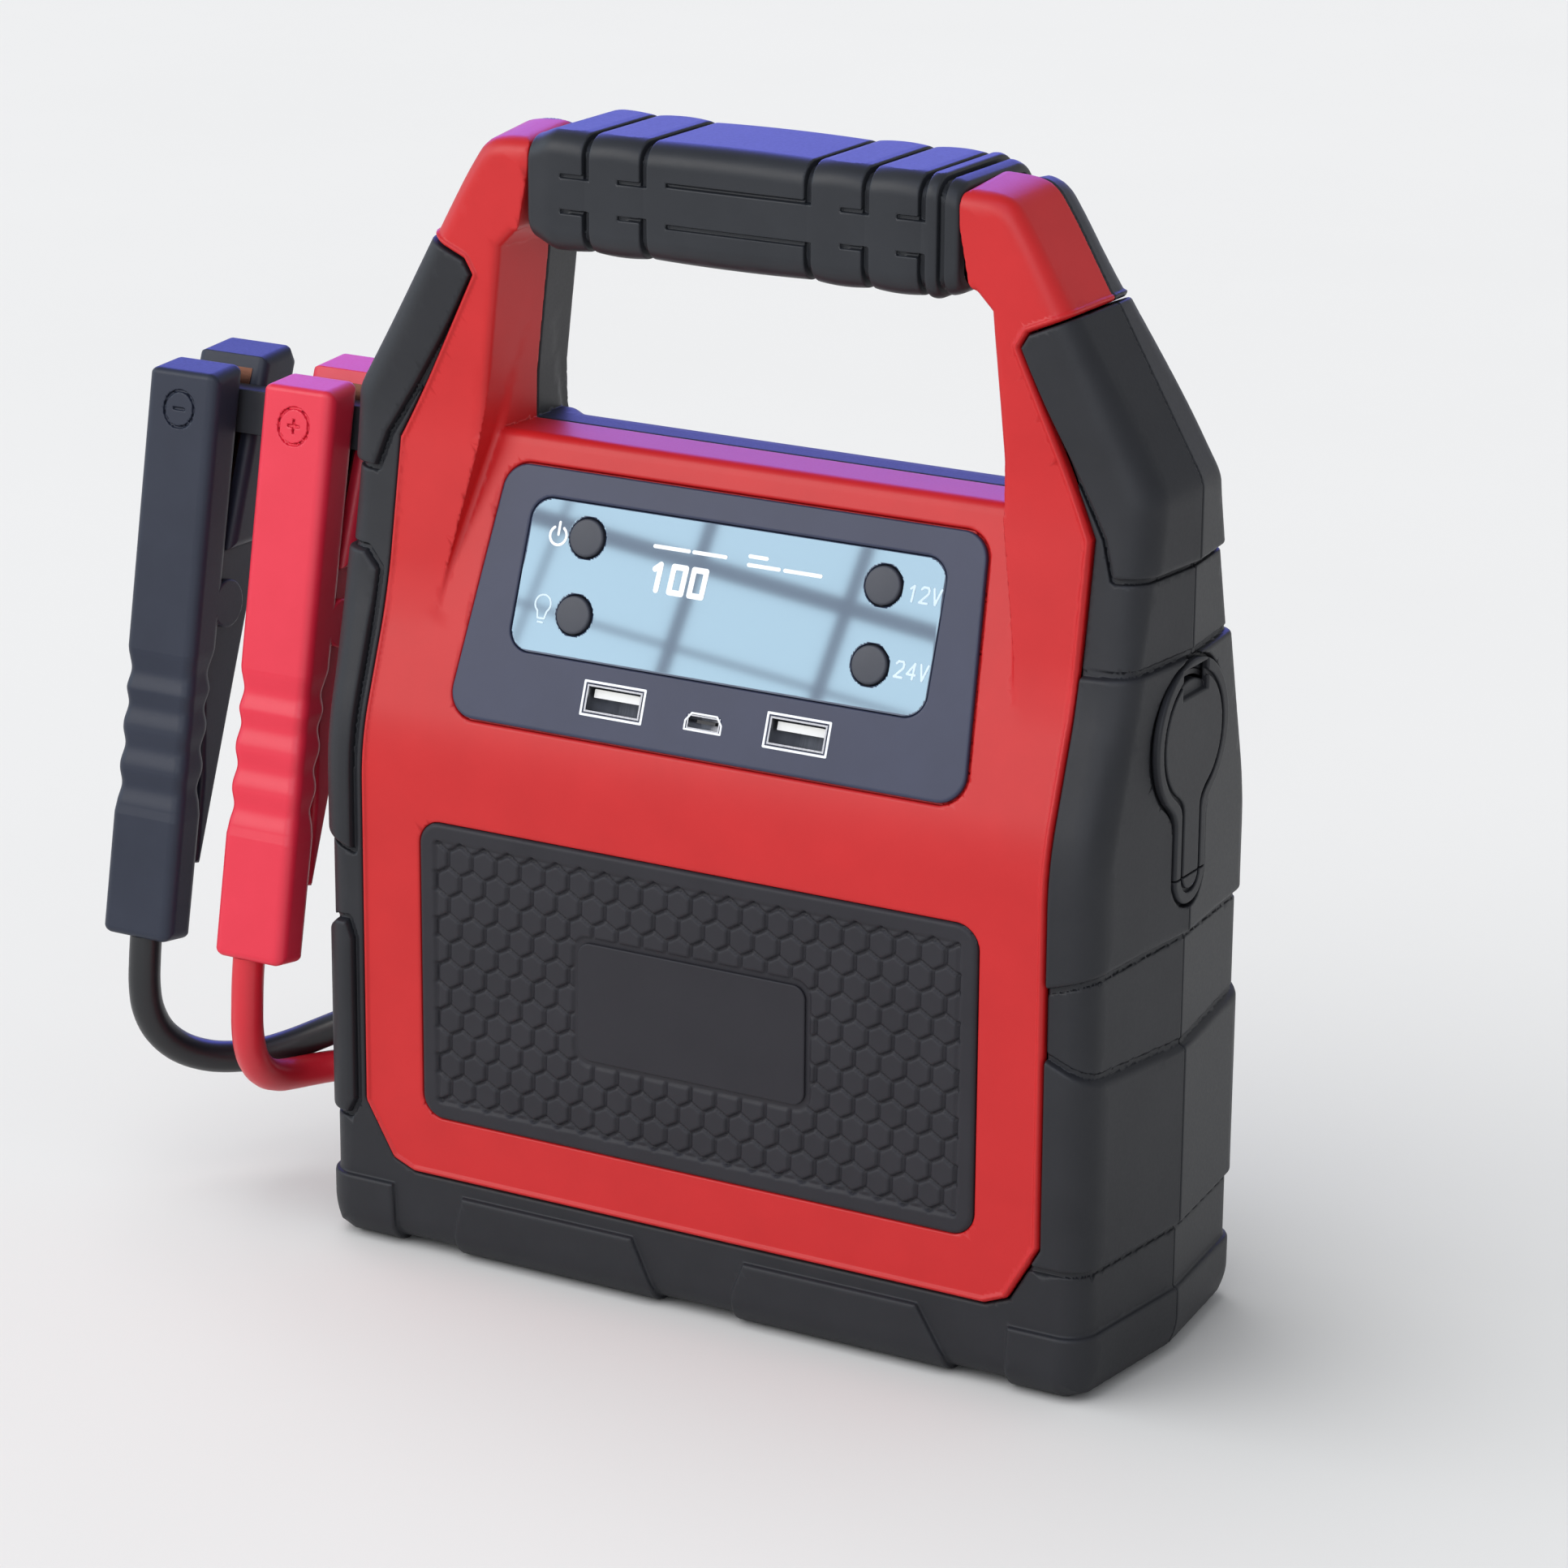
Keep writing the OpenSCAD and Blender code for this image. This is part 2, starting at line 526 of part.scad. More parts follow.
module black_clamp_front_arm() color(BLACK) arm_front(black_x);
module black_clamp_rear_arm() color(BLACK) arm_rear(black_x);
module black_clamp_front_jaw() color(COPPER) jaw(black_x, -1);
module black_clamp_rear_jaw() color(COPPER) jaw(black_x, 1);
module black_clamp_pin() color(STEEL) pin(black_x);
module black_clamp_spring() color(STEEL) coil(black_x);
module red_clamp_front_arm() color(RED) arm_front(red_x);
module red_clamp_rear_arm() color(RED) arm_rear(red_x);
module red_clamp_front_jaw() color(COPPER) jaw(red_x, -1);
module red_clamp_rear_jaw() color(COPPER) jaw(red_x, 1);
module red_clamp_pin() color(STEEL) pin(red_x);
module red_clamp_spring() color(STEEL) coil(red_x);

front_shell();
rear_shell();
front_bumper();
rear_bumper();
grip_sleeve();
front_grille();
badge_plate();
display_bezel();
display_lens();
power_button();
light_button();
volts12_button();
volts24_button();
lcd_module();
display_board();
tact_switches();
usb_a_sockets();
usb_a_tongues();
micro_usb_socket();
micro_usb_tongue();
socket_cover();
cover_anchor();
dc_socket_barrel();
dc_socket_insulator();
dc_socket_contact();
lamp_housing();
lamp_reflector();
lamp_lens();
lamp_led_board();
battery_cells();
battery_tray();
cell_busbars();
main_board();
output_relays();
case_screws();
lead_glands();
clamp_rail();
black_lead();
red_lead();
black_clamp_front_arm();
black_clamp_rear_arm();
black_clamp_front_jaw();
black_clamp_rear_jaw();
black_clamp_pin();
black_clamp_spring();
red_clamp_front_arm();
red_clamp_rear_arm();
red_clamp_front_jaw();
red_clamp_rear_jaw();
red_clamp_pin();
red_clamp_spring();
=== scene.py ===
import json
import math

import bpy
import numpy as np
import openvdb as vdb
from mathutils import Matrix, Vector

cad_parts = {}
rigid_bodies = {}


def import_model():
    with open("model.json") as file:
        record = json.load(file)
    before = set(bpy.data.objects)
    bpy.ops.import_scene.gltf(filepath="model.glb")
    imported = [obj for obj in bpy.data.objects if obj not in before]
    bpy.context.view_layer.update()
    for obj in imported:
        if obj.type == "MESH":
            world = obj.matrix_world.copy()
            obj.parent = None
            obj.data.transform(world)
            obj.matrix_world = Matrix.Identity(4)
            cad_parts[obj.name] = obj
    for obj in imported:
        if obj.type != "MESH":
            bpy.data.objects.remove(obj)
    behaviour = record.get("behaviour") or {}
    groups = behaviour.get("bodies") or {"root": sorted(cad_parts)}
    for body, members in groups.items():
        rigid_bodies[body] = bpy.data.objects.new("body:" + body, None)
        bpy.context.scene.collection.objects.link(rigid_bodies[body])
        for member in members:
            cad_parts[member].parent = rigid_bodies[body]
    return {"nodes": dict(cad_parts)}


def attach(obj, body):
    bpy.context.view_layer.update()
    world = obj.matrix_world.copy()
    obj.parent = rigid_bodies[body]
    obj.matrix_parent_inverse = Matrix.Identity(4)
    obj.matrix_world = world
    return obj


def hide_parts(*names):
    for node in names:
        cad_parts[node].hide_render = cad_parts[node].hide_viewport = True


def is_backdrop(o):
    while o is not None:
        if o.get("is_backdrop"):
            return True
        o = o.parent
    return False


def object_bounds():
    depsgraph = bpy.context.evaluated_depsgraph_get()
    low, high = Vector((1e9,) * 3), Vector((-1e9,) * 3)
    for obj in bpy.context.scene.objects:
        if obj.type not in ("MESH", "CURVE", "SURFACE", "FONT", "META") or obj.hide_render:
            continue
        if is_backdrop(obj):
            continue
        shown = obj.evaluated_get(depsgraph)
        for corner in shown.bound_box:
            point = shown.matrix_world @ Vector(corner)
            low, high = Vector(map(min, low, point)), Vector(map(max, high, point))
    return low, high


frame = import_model()
cad_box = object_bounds()
MM = 0.001

# ---------------------------------------------------------------- camera ----
az, el, roll = math.radians(29.81), math.radians(17.72), math.radians(-0.43)
back = Vector((math.sin(az) * math.cos(el), -math.cos(az) * math.cos(el), math.sin(el)))
right = Vector((math.cos(az), math.sin(az), 0.0))
up = back.cross(right)
cam_x = right * math.cos(roll) - up * math.sin(roll)
cam_y = right * math.sin(roll) + up * math.cos(roll)
cam_data = bpy.data.cameras.new("photo_camera")
cam_data.sensor_width = 36.0
cam_data.sensor_fit = "HORIZONTAL"
cam_data.lens = 6468.0 / 1932.0 * 36.0
cam_data.clip_start, cam_data.clip_end = 0.05, 50.0
cam = bpy.data.objects.new("photo_camera", cam_data)
bpy.context.scene.collection.objects.link(cam)
cam.matrix_world = Matrix((
    (cam_x.x, cam_y.x, back.x, 0.5273),
    (cam_x.y, cam_y.y, back.y, -0.9178),
    (cam_x.z, cam_y.z, back.z, 0.4471),
    (0, 0, 0, 1)))
bpy.context.scene.camera = cam

# ------------------------------------------------------------- materials ----


def srgb(r, g, b):
    def one(c):
        c = c / 255.0
        return c / 12.92 if c <= 0.04045 else ((c + 0.055) / 1.055) ** 2.4
    return (one(r), one(g), one(b), 1.0)


def material(name, dark, light, rough=0.5, rough_var=0.08, grain=1500.0, bump=0.12,
             mottle=60.0, metallic=0.0, coat=0.0, specular=0.5, wear=0.0, sheen=0.0, fine=0.6,
             brushed=None, depth=0.00006):
    """Moulded or metal surface: two tones mixed by a broad noise, a fine grain in the bump, roughness from the grain.
    """
    m = bpy.data.materials.new(name)
    m.use_nodes = True
    nt = m.node_tree
    nt.nodes.clear()
    N, L = nt.nodes.new, nt.links.new
    out = N("ShaderNodeOutputMaterial")
    p = N("ShaderNodeBsdfPrincipled")
    p.inputs["Metallic"].default_value = metallic
    p.inputs["Specular IOR Level"].default_value = specular
    p.inputs["Coat Weight"].default_value = coat
    p.inputs["Coat Roughness"].default_value = 0.08
    p.inputs["Sheen Weight"].default_value = sheen
    L(p.outputs[0], out.inputs[0])
    tc = N("ShaderNodeTexCoord")
    source = tc.outputs["Object"]
    if brushed:
        mp = N("ShaderNodeMapping")
        mp.inputs["Scale"].default_value = brushed
        L(source, mp.inputs["Vector"])
        source = mp.outputs["Vector"]
    broad = N("ShaderNodeTexNoise")
    broad.inputs["Scale"].default_value = mottle
    broad.inputs["Detail"].default_value = 5.0
    broad.inputs["Roughness"].default_value = 0.6
    L(source, broad.inputs["Vector"])
    small = N("ShaderNodeTexNoise")
    small.inputs["Scale"].default_value = grain
    small.inputs["Detail"].default_value = 3.0
    small.inputs["Roughness"].default_value = fine
    L(source, small.inputs["Vector"])
    mix = N("ShaderNodeMix")
    mix.data_type = "RGBA"
    mix.inputs[6].default_value = dark
    mix.inputs[7].default_value = light
    ramp = N("ShaderNodeMapRange")
    ramp.inputs["From Min"].default_value = 0.3
    ramp.inputs["From Max"].default_value = 0.7
    L(broad.outputs["Fac"], ramp.inputs["Value"])
    L(ramp.outputs[0], mix.inputs[0])
    colour = mix.outputs[2]
    if wear > 0:
        geo = N("ShaderNodeNewGeometry")
        edge = N("ShaderNodeMapRange")
        edge.inputs["From Min"].default_value = 0.53
        edge.inputs["From Max"].default_value = 0.62
        L(geo.outputs["Pointiness"], edge.inputs["Value"])
        mul = N("ShaderNodeMath")
        mul.operation = "MULTIPLY"
        mul.inputs[1].default_value = wear
        L(edge.outputs[0], mul.inputs[0])
        worn = N("ShaderNodeMix")
        worn.data_type = "RGBA"
        worn.inputs[7].default_value = tuple(min(1.0, c * 1.8 + 0.02) for c in light[:3]) + (1.0,)
        L(mul.outputs[0], worn.inputs[0])
        L(colour, worn.inputs[6])
        colour = worn.outputs[2]
    L(colour, p.inputs["Base Color"])
    rr = N("ShaderNodeMapRange")
    rr.inputs["To Min"].default_value = rough - rough_var
    rr.inputs["To Max"].default_value = rough + rough_var
    L(small.outputs["Fac"], rr.inputs["Value"])
    L(rr.outputs[0], p.inputs["Roughness"])
    if bump > 0:
        b = N("ShaderNodeBump")
        b.inputs["Strength"].default_value = bump
        b.inputs["Distance"].default_value = depth
        L(small.outputs["Fac"], b.inputs["Height"])
        L(b.outputs["Normal"], p.inputs["Normal"])
    return m


M = {
    "case_red": material("case_red", srgb(188, 26, 28), srgb(195, 30, 32), rough=0.42, rough_var=0.05, bump=0.10, grain=1800, specular=0.4),
    "case_black": material("case_black", srgb(35, 36, 40), srgb(41, 42, 46), rough=0.5, bump=0.2, grain=1600, wear=0.15, specular=0.34),
    "bumper": material("bumper_rubber", srgb(31, 32, 36), srgb(37, 38, 42), rough=0.5, rough_var=0.06, bump=0.25, grain=1400, wear=0.2, specular=0.32),
    "grip": material("grip_rubber", srgb(38, 40, 44), srgb(44, 46, 50), rough=0.42, rough_var=0.06, bump=0.2, grain=1500, wear=0.15, specular=0.28),
    "grille": material("grille_black", srgb(36, 35, 40), srgb(41, 40, 45), rough=0.52, bump=0.2, grain=1500, specular=0.3),
    "badge": material("badge_black", srgb(37, 36, 41), srgb(40, 39, 44), rough=0.55, bump=0.1, grain=2000, specular=0.3),
    "bezel": material("bezel_black", srgb(45, 50, 72), srgb(49, 54, 77), rough=0.4, rough_var=0.04, bump=0.08, grain=2200, specular=0.4),
    "key": material("key_black", srgb(50, 53, 62), srgb(56, 59, 68), rough=0.5, bump=0.15, grain=2500),
    "print": material("print_white", srgb(236, 240, 242), srgb(246, 249, 250), rough=0.45, bump=0.05, grain=2500),
    "print_soft": material("print_pale", srgb(206, 224, 236), srgb(214, 231, 242), rough=0.45, bump=0.05, grain=2500),
    "steel": material("socket_steel", srgb(128, 130, 136), srgb(150, 152, 158), rough=0.32, metallic=1.0, bump=0.05, brushed=(20, 1, 1), mottle=200),
    "white_plastic": material("tongue_white", srgb(228, 228, 224), srgb(238, 238, 234), rough=0.5, bump=0.05),
    "black_plastic": material("plain_black", srgb(34, 34, 37), srgb(42, 42, 45), rough=0.5, bump=0.15),
    "chrome": material("lamp_chrome", srgb(210, 212, 216), srgb(228, 230, 234), rough=0.14, rough_var=0.04, metallic=1.0, bump=0.03),
    "led": material("led_white", srgb(232, 228, 196), srgb(244, 240, 214), rough=0.4, bump=0.05),
    "foil": material("cell_foil", srgb(138, 146, 158), srgb(160, 168, 180), rough=0.35, metallic=0.8, bump=0.15, grain=400),
    "copper": material("copper", srgb(66, 44, 36), srgb(80, 54, 44), rough=0.3, metallic=1.0, bump=0.08, brushed=(1, 1, 12), mottle=120),
    "board": material("board_green", srgb(20, 74, 44), srgb(28, 92, 54), rough=0.4, bump=0.1, mottle=400),
    "relay": material("relay_black", srgb(26, 28, 34), srgb(34, 36, 42), rough=0.3, bump=0.08),
    "screw": material("screw_steel", srgb(150, 152, 156), srgb(184, 186, 190), rough=0.35, metallic=1.0, bump=0.08, mottle=500),
    "rail": material("rail_black", srgb(38, 40, 44), srgb(46, 48, 52), rough=0.5, bump=0.2),
    "lead_black": material("lead_black", srgb(24, 25, 28), srgb(29, 30, 33), rough=0.38, bump=0.12, grain=900),
    "lead_red": material("lead_red", srgb(198, 30, 44), srgb(206, 36, 50), rough=0.38, bump=0.12, grain=900),
    "clamp_black": material("clamp_black", srgb(34, 39, 53), srgb(40, 45, 59), rough=0.46, bump=0.15, grain=1600, wear=0.15, specular=0.32),
    "clamp_red": material("clamp_red", srgb(214, 34, 58), srgb(220, 40, 64), rough=0.42, bump=0.12, grain=1600),
    "spring": material("spring_steel", srgb(150, 152, 156), srgb(178, 180, 184), rough=0.28, metallic=1.0, bump=0.05, mottle=700),
}


def glass_material():
    m = bpy.data.materials.new("lamp_clear")
    m.use_nodes = True
    nt = m.node_tree
    p = nt.nodes["Principled BSDF"]
    p.inputs["Transmission Weight"].default_value = 1.0
    p.inputs["IOR"].default_value = 1.49
    n = nt.nodes.new("ShaderNodeTexNoise")
    n.inputs["Scale"].default_value = 300.0
    tc = nt.nodes.new("ShaderNodeTexCoord")
    nt.links.new(tc.outputs["Object"], n.inputs["Vector"])
    mx = nt.nodes.new("ShaderNodeMix")
    mx.data_type = "RGBA"
    mx.inputs[6].default_value = (0.93, 0.96, 0.97, 1)
    mx.inputs[7].default_value = (0.97, 0.99, 1.0, 1)
    nt.links.new(n.outputs["Fac"], mx.inputs[0])
    nt.links.new(mx.outputs[2], p.inputs["Base Color"])
    r = nt.nodes.new("ShaderNodeMapRange")
    r.inputs["To Min"].default_value = 0.06
    r.inputs["To Max"].default_value = 0.12
    nt.links.new(n.outputs["Fac"], r.inputs["Value"])
    nt.links.new(r.outputs[0], p.inputs["Roughness"])
    return m


M["glass"] = glass_material()


def window_material():
    """Pale blue display cover with a soft gradient and a glossy coat."""
    m = bpy.data.materials.new("display_window")
    m.use_nodes = True
    nt = m.node_tree
    N, L = nt.nodes.new, nt.links.new
    p = nt.nodes["Principled BSDF"]
    p.inputs["Coat Weight"].default_value = 1.0
    p.inputs["Coat Roughness"].default_value = 0.03
    p.inputs["Coat IOR"].default_value = 2.0
    p.inputs["Specular IOR Level"].default_value = 0.3
    tc = N("ShaderNodeTexCoord")
    n = N("ShaderNodeTexNoise")
    n.inputs["Scale"].default_value = 14.0
    n.inputs["Detail"].default_value = 2.0
    L(tc.outputs["Object"], n.inputs["Vector"])
    rg = N("ShaderNodeMapRange")
    rg.inputs["From Min"].default_value = 0.35
    rg.inputs["From Max"].default_value = 0.65
    L(n.outputs["Fac"], rg.inputs["Value"])
    mx = N("ShaderNodeMix")
    mx.data_type = "RGBA"
    mx.inputs[6].default_value = srgb(74, 84, 112)
    mx.inputs[7].default_value = srgb(84, 96, 124)
    L(rg.outputs[0], mx.inputs[0])
    L(mx.outputs[2], p.inputs["Base Color"])
    r = N("ShaderNodeMapRange")
    r.inputs["To Min"].default_value = 0.12
    r.inputs["To Max"].default_value = 0.2
    L(n.outputs["Fac"], r.inputs["Value"])
    L(r.outputs[0], p.inputs["Roughness"])
    return m


M["window"] = window_material()

# ------------------------------------------------------------ sdf helpers ----
mx, mn = np.maximum, np.minimum


def rmax(a, b, r):
    """Intersection whose convex edge is rounded by r."""
    return mn(-r, mx(a, b)) + np.sqrt(mx(a + r, 0) ** 2 + mx(b + r, 0) ** 2)


def rmin(a, b, r):
    """Union whose inner corner is filleted by r."""
    return mx(r, mn(a, b)) - np.sqrt(mx(r - a, 0) ** 2 + mx(r - b, 0) ** 2)


def smax(a, b, k):
    h = mx(k - np.abs(a - b), 0) / k
    return mx(a, b) + h * h * k * 0.25


def smin(a, b, k):
    return -smax(-a, -b, k)


def poly(x, z, pts):
    """Signed distance to a polygon, negative inside."""
    x, z = np.broadcast_arrays(np.asarray(x, np.float32), np.asarray(z, np.float32))
    best = np.full(x.shape, 1e9, np.float32)
    inside = np.zeros(x.shape, bool)
    n = len(pts)
    for i in range(n):
        (ax, az_), (bx, bz) = pts[i], pts[(i + 1) % n]
        ex, ez = bx - ax, bz - az_
        wx, wz = x - ax, z - az_
        t = np.clip((wx * ex + wz * ez) / (ex * ex + ez * ez), 0, 1)
        best = mn(best, (wx - ex * t) ** 2 + (wz - ez * t) ** 2)
        if ez != 0:
            cross = (az_ > z) != (bz > z)
            inside ^= cross & (x < ex * (z - az_) / ez + ax)
    d = np.sqrt(best)
    return np.where(inside, -d, d)


def segment(x, z, a, b):
    ex, ez = b[0] - a[0], b[1] - a[1]
    wx, wz = x - a[0], z - a[1]
    t = np.clip((wx * ex + wz * ez) / max(ex * ex + ez * ez, 1e-9), 0, 1)
    return np.sqrt((wx - ex * t) ** 2 + (wz - ez * t) ** 2)


def strokes(x, z, lines):
    d = None
    for line in lines:
        for a, b in zip(line[:-1], line[1:]):
            s = segment(x, z, a, b)
            d = s if d is None else mn(d, s)
    return d


def box2(x, z, hx, hz, r=0.0):
    qx, qz = np.abs(x) - (hx - r), np.abs(z) - (hz - r)
    return np.sqrt(mx(qx, 0) ** 2 + mx(qz, 0) ** 2) + mn(mx(qx, qz), 0) - r


def surface(f, lo, hi, h, project=2, adapt=0.0):
    """Polygons of f = 0 inside the box lo..hi, with the vertices moved onto the exact surface.

    With adapt above 0, flat areas are merged into larger polygons.
    """
    axes = [np.arange(lo[i] - 1.5 * h, hi[i] + 2.5 * h, h, dtype=np.float32) for i in range(3)]
    X, Y, Z = axes[0][:, None, None], axes[1][None, :, None], axes[2][None, None, :]
    F = np.broadcast_to(f(X, Y, Z), (len(axes[0]), len(axes[1]), len(axes[2])))
    F = np.ascontiguousarray(np.clip(F, -2.5 * h, 2.5 * h), dtype=np.float32)
    g = vdb.FloatGrid(2.5 * h)
    g.copyFromArray(F)
    if adapt > 0:
        v, tri, q = g.convertToPolygons(0.0, adapt)
        q = (tri, q)
    else:
        v, q = g.convertToQuads(0.0)
    v = v * h + np.array([axes[0][0], axes[1][0], axes[2][0]])
    v = v.astype(np.float64)
    e = 0.12 * h

    def grad(p):
        x, y, z = p[:, 0], p[:, 1], p[:, 2]
        return np.stack([f(x + e, y, z) - f(x - e, y, z), f(x, y + e, z) - f(x, y - e, z),
                         f(x, y, z + e) - f(x, y, z - e)], 1) / (2 * e)
    for _ in range(project):
        d = f(v[:, 0], v[:, 1], v[:, 2])
        n = grad(v)
        n2 = mx((n * n).sum(1), 0.25)
        step = np.clip(-d / n2, -0.6 * h, 0.6 * h)
        v = v + n * step[:, None]
    n = grad(v)
    n /= mx(np.linalg.norm(n, axis=1), 1e-6)[:, None]
    return v, q, n


def mesh_object(name, v, q, n=None, matrix=None):
    me = bpy.data.meshes.new(name)
    v = v * MM
    if matrix is not None:
        R = np.array(matrix.to_3x3())
        v = v @ R.T + np.array(matrix.translation)
        if n is not None:
            n = n @ R.T
    me.vertices.add(len(v))
    me.vertices.foreach_set("co", v.astype(np.float32).ravel())
    faces = q if isinstance(q, tuple) else (q,)
    index = np.concatenate([a.ravel() for a in faces]).astype(np.int32)
    sizes = np.concatenate([np.full(len(a), a.shape[1], np.int32) for a in faces])
    me.loops.add(len(index))
    me.loops.foreach_set("vertex_index", index)
    me.polygons.add(len(sizes))
    me.polygons.foreach_set("loop_start", np.concatenate([[0], np.cumsum(sizes)[:-1]]).astype(np.int32))
    me.update(calc_edges=True)
    me.validate()
    me.polygons.foreach_set("use_smooth", np.ones(len(me.polygons), bool))
    if n is not None and len(me.vertices) == len(n):
        me.normals_split_custom_set_from_vertices([tuple(a) for a in n.astype(np.float32)])
    o = bpy.data.objects.new(name, me)
    bpy.context.scene.collection.objects.link(o)
    return o


def solid(name, f, lo, hi, h, mat, body, nodes=(), matrix=None, project=2, normals=True, adapt=0.0):
    v, q, n = surface(f, lo, hi, h, project, adapt)
    o = mesh_object(name, v, q, n if normals else None, matrix)
    finish_piece(o, mat, body, nodes)
    return o


def finish_piece(o, mat, body, nodes=()):
    o.data.materials.clear()
    o.data.materials.append(M[mat])
    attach(o, body)
    if nodes:
        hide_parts(*nodes)
    return o


# ----------------------------------------------------------------- leads ----
# routes in millimetres, from the clamp to the gland, as in the construction
black_route = [(-144, -31.3, 58.3), (-144, -32, 53), (-144, -32.4, 47), (-143.8, -31.6, 41), (-142.6, -29.2, 35.2),
               (-140, -25.3, 30.6), (-136.2, -20.6, 27.8), (-131.8, -15.8, 26.8), (-127, -11.4, 27.2), (-121.8, -7.4, 29),
               (-116.4, -4.2, 31.6), (-110.8, -1.8, 34.4), (-105.2, -0.4, 36.8), (-99.5, 0, 38)]
red_route = [(-116, -31.3, 58.3), (-116, -32, 53), (-116, -32.4, 47.5), (-116.4, -32, 42), (-117.2, -30.2, 36.6),
             (-118, -27.2, 31.8), (-118.5, -23, 28), (-118.5, -18, 25.6), (-117.8, -13, 24.6), (-115.9, -8.6, 24.4),
             (-112.8, -4.6, 24.6), (-108.4, -1.5, 25), (-103.8, -0.3, 25.6), (-99.5, 0, 26)]


def smooth_path(points, per=5):
    p = np.array(points, float)
    p = np.vstack([2 * p[0] - p[1], p, 2 * p[-1] - p[-2]])
    out = []
    for i in range(1, len(p) - 2):
        a, b, c, d = p[i - 1], p[i], p[i + 1], p[i + 2]
        for k in range(per):
            t = k / per
            out.append(0.5 * ((2 * b) + (-a + c) * t + (2 * a - 5 * b + 4 * c - d) * t * t
                              + (-a + 3 * b - 3 * c + d) * t ** 3))
    out.append(p[-2])
    return np.array(out)


def lead(name, route, mat, node):
    path = smooth_path(route)
    cu = bpy.data.curves.new(name, "CURVE")
    cu.dimensions = "3D"
    cu.bevel_depth = 0.0036
    cu.bevel_resolution = 6
    cu.use_fill_caps = True
    sp = cu.splines.new("POLY")
    sp.points.add(len(path) - 1)
    sp.points.foreach_set("co", np.hstack([path * MM, np.ones((len(path), 1))]).ravel())
    sp.use_smooth = True
    o = bpy.data.objects.new(name, cu)
    bpy.context.scene.collection.objects.link(o)
    finish_piece(o, mat, "case", (node,))
    return o


lead("black_lead_jacket", black_route, "lead_black", "black_lead")
lead("red_lead_jacket", red_route, "lead_red", "red_lead")

# ------------------------------------------------------- the case outline ----
HW, HD, H = 97.0, 36.5, 246.5
FRONT_S, REAR_S = 18.5, 15.5
OUTLINE = [(91, 0), (95.2, 1.8), (97, 6), (97, 188.5), (77.8, 221.5), (67.2, 239.8), (63.8, 244.1), (59.6, 246.1), (54, 246.5)]
HOLE = [(60.5, 181.1), (60.3, 191), (59.2, 201), (57.4, 217), (57.0, 221), (53.4, 224.6)]
HOLE = HOLE + [(-a, b) for a, b in HOLE[::-1]]
SKIN = [(70, 18.4), (75.4, 20.6), (82.6, 33), (82.2, 178), (64.6, 214.6), (66.4, 217.6), (78, 222.6), (110, 236), (110, 290)]
SKIN = SKIN + [(-a, b) for a, b in SKIN[::-1]]
TILT = math.radians(19.4)
COST, SINT = math.cos(TILT), math.sin(TILT)


def outline(ax, y, z):
    """Distance to the outline seen from the front, drafted towards the faces."""
    f = y / HD
    xs, zs = ax / (1 - 0.041237 * f), z / (1 - 0.0115 * f)
    d = mx(zs - H, -z)
    for (x0, z0), (x1, z1) in zip(OUTLINE[:-1], OUTLINE[1:]):
        nx, nz = z1 - z0, -(x1 - x0)
        k = math.hypot(nx, nz)
        nx, nz = nx / k, nz / k
        e = xs * nx + (zs * nz - (x0 * nx + z0 * nz))
        d = smax(d, e, 1.2) if z1 > 100 else mx(d, e)
    return d


def recess_w(z):
    return 60.6 + (184 - z) * 0.2


def slope_panel(y, z):
    return ((y - 36.5) + 0.3522 * (z - 114.7)) * COST


def step(a, b, t):
    t = np.clip((t - a) / (b - a), 0, 1)
    return t * t * (3 - 2 * t)


def profile(ax, y, z, deep):
    flat = y - HD
    low = slope_panel(y, z)
    mid = ((y - 25.3) + (25.3 - deep) / 39.0 * (z - 147)) * 0.98
    pillar = smin(mid, y - deep, 1.5)
    pillar = rmax(pillar, recess_w(z) - ax, 0.8)
    p = rmin(low, pillar, 0.7)
    return smax(flat, p, 3.0)


def case(ax, y, z, rear=False):
    up_ = step(195.0, 235.0, z)
    r = 6.5 + (6.5 if rear else -2.2) * up_
    return rmax(outline(ax, y, z), profile(ax, y, z, REAR_S if rear else FRONT_S), r)


def hole(x, y, z):
    ax = np.abs(x) + 0.9 - 0.1 * mn(np.abs(y), 18.0)
    return poly(ax, z, HOLE)


def skin(x, z):
    return poly(x, z, SKIN)


def neck(ax, z):
    return mx(ax - 50.3, 219.5 - z)


PANEL = Matrix.Translation(Vector((0, -33, 124.6)) * MM) @ Matrix((
    (1, 0, 0), (0, SINT, -COST), (0, COST, SINT))).to_4x4()


def panel_uvw(x, y, z):
    return x, (y + 33) * SINT + (z - 124.6) * COST, -(y + 33) * COST + (z - 124.6) * SINT


BEZEL = [(61.9, -1.4), (57.1, 53.6), (-57.1, 53.6), (-61.9, -1.4)]
WINDOW = [(49.8, 14.4), (49.5, 47.4), (-49.5, 47.4), (-49.8, 14.4)]
USB = [(-22, 7.2), (22, 7.2)]
KEYS = {"power_button": (-35, 40), "light_button": (-35, 23.7), "volts12_button": (35.6, 40), "volts24_button": (35.6, 23.7)}


def shrink(pts, d):
    out = []
    n = len(pts)
    for i in range(n):
        a, b, c = (np.array(pts[(i + k) % n], float) for k in (-1, 0, 1))
        u, w = (b - a) / np.linalg.norm(b - a), (c - b) / np.linalg.norm(c - b)
        m, q = np.array([-u[1], u[0]]), np.array([-w[1], w[0]])
        out.append(tuple(b + (m + q) * d / (1 + m @ q)))
    return out


def rounded_poly(x, z, pts, r):
    return poly(x, z, shrink(pts, r)) - r


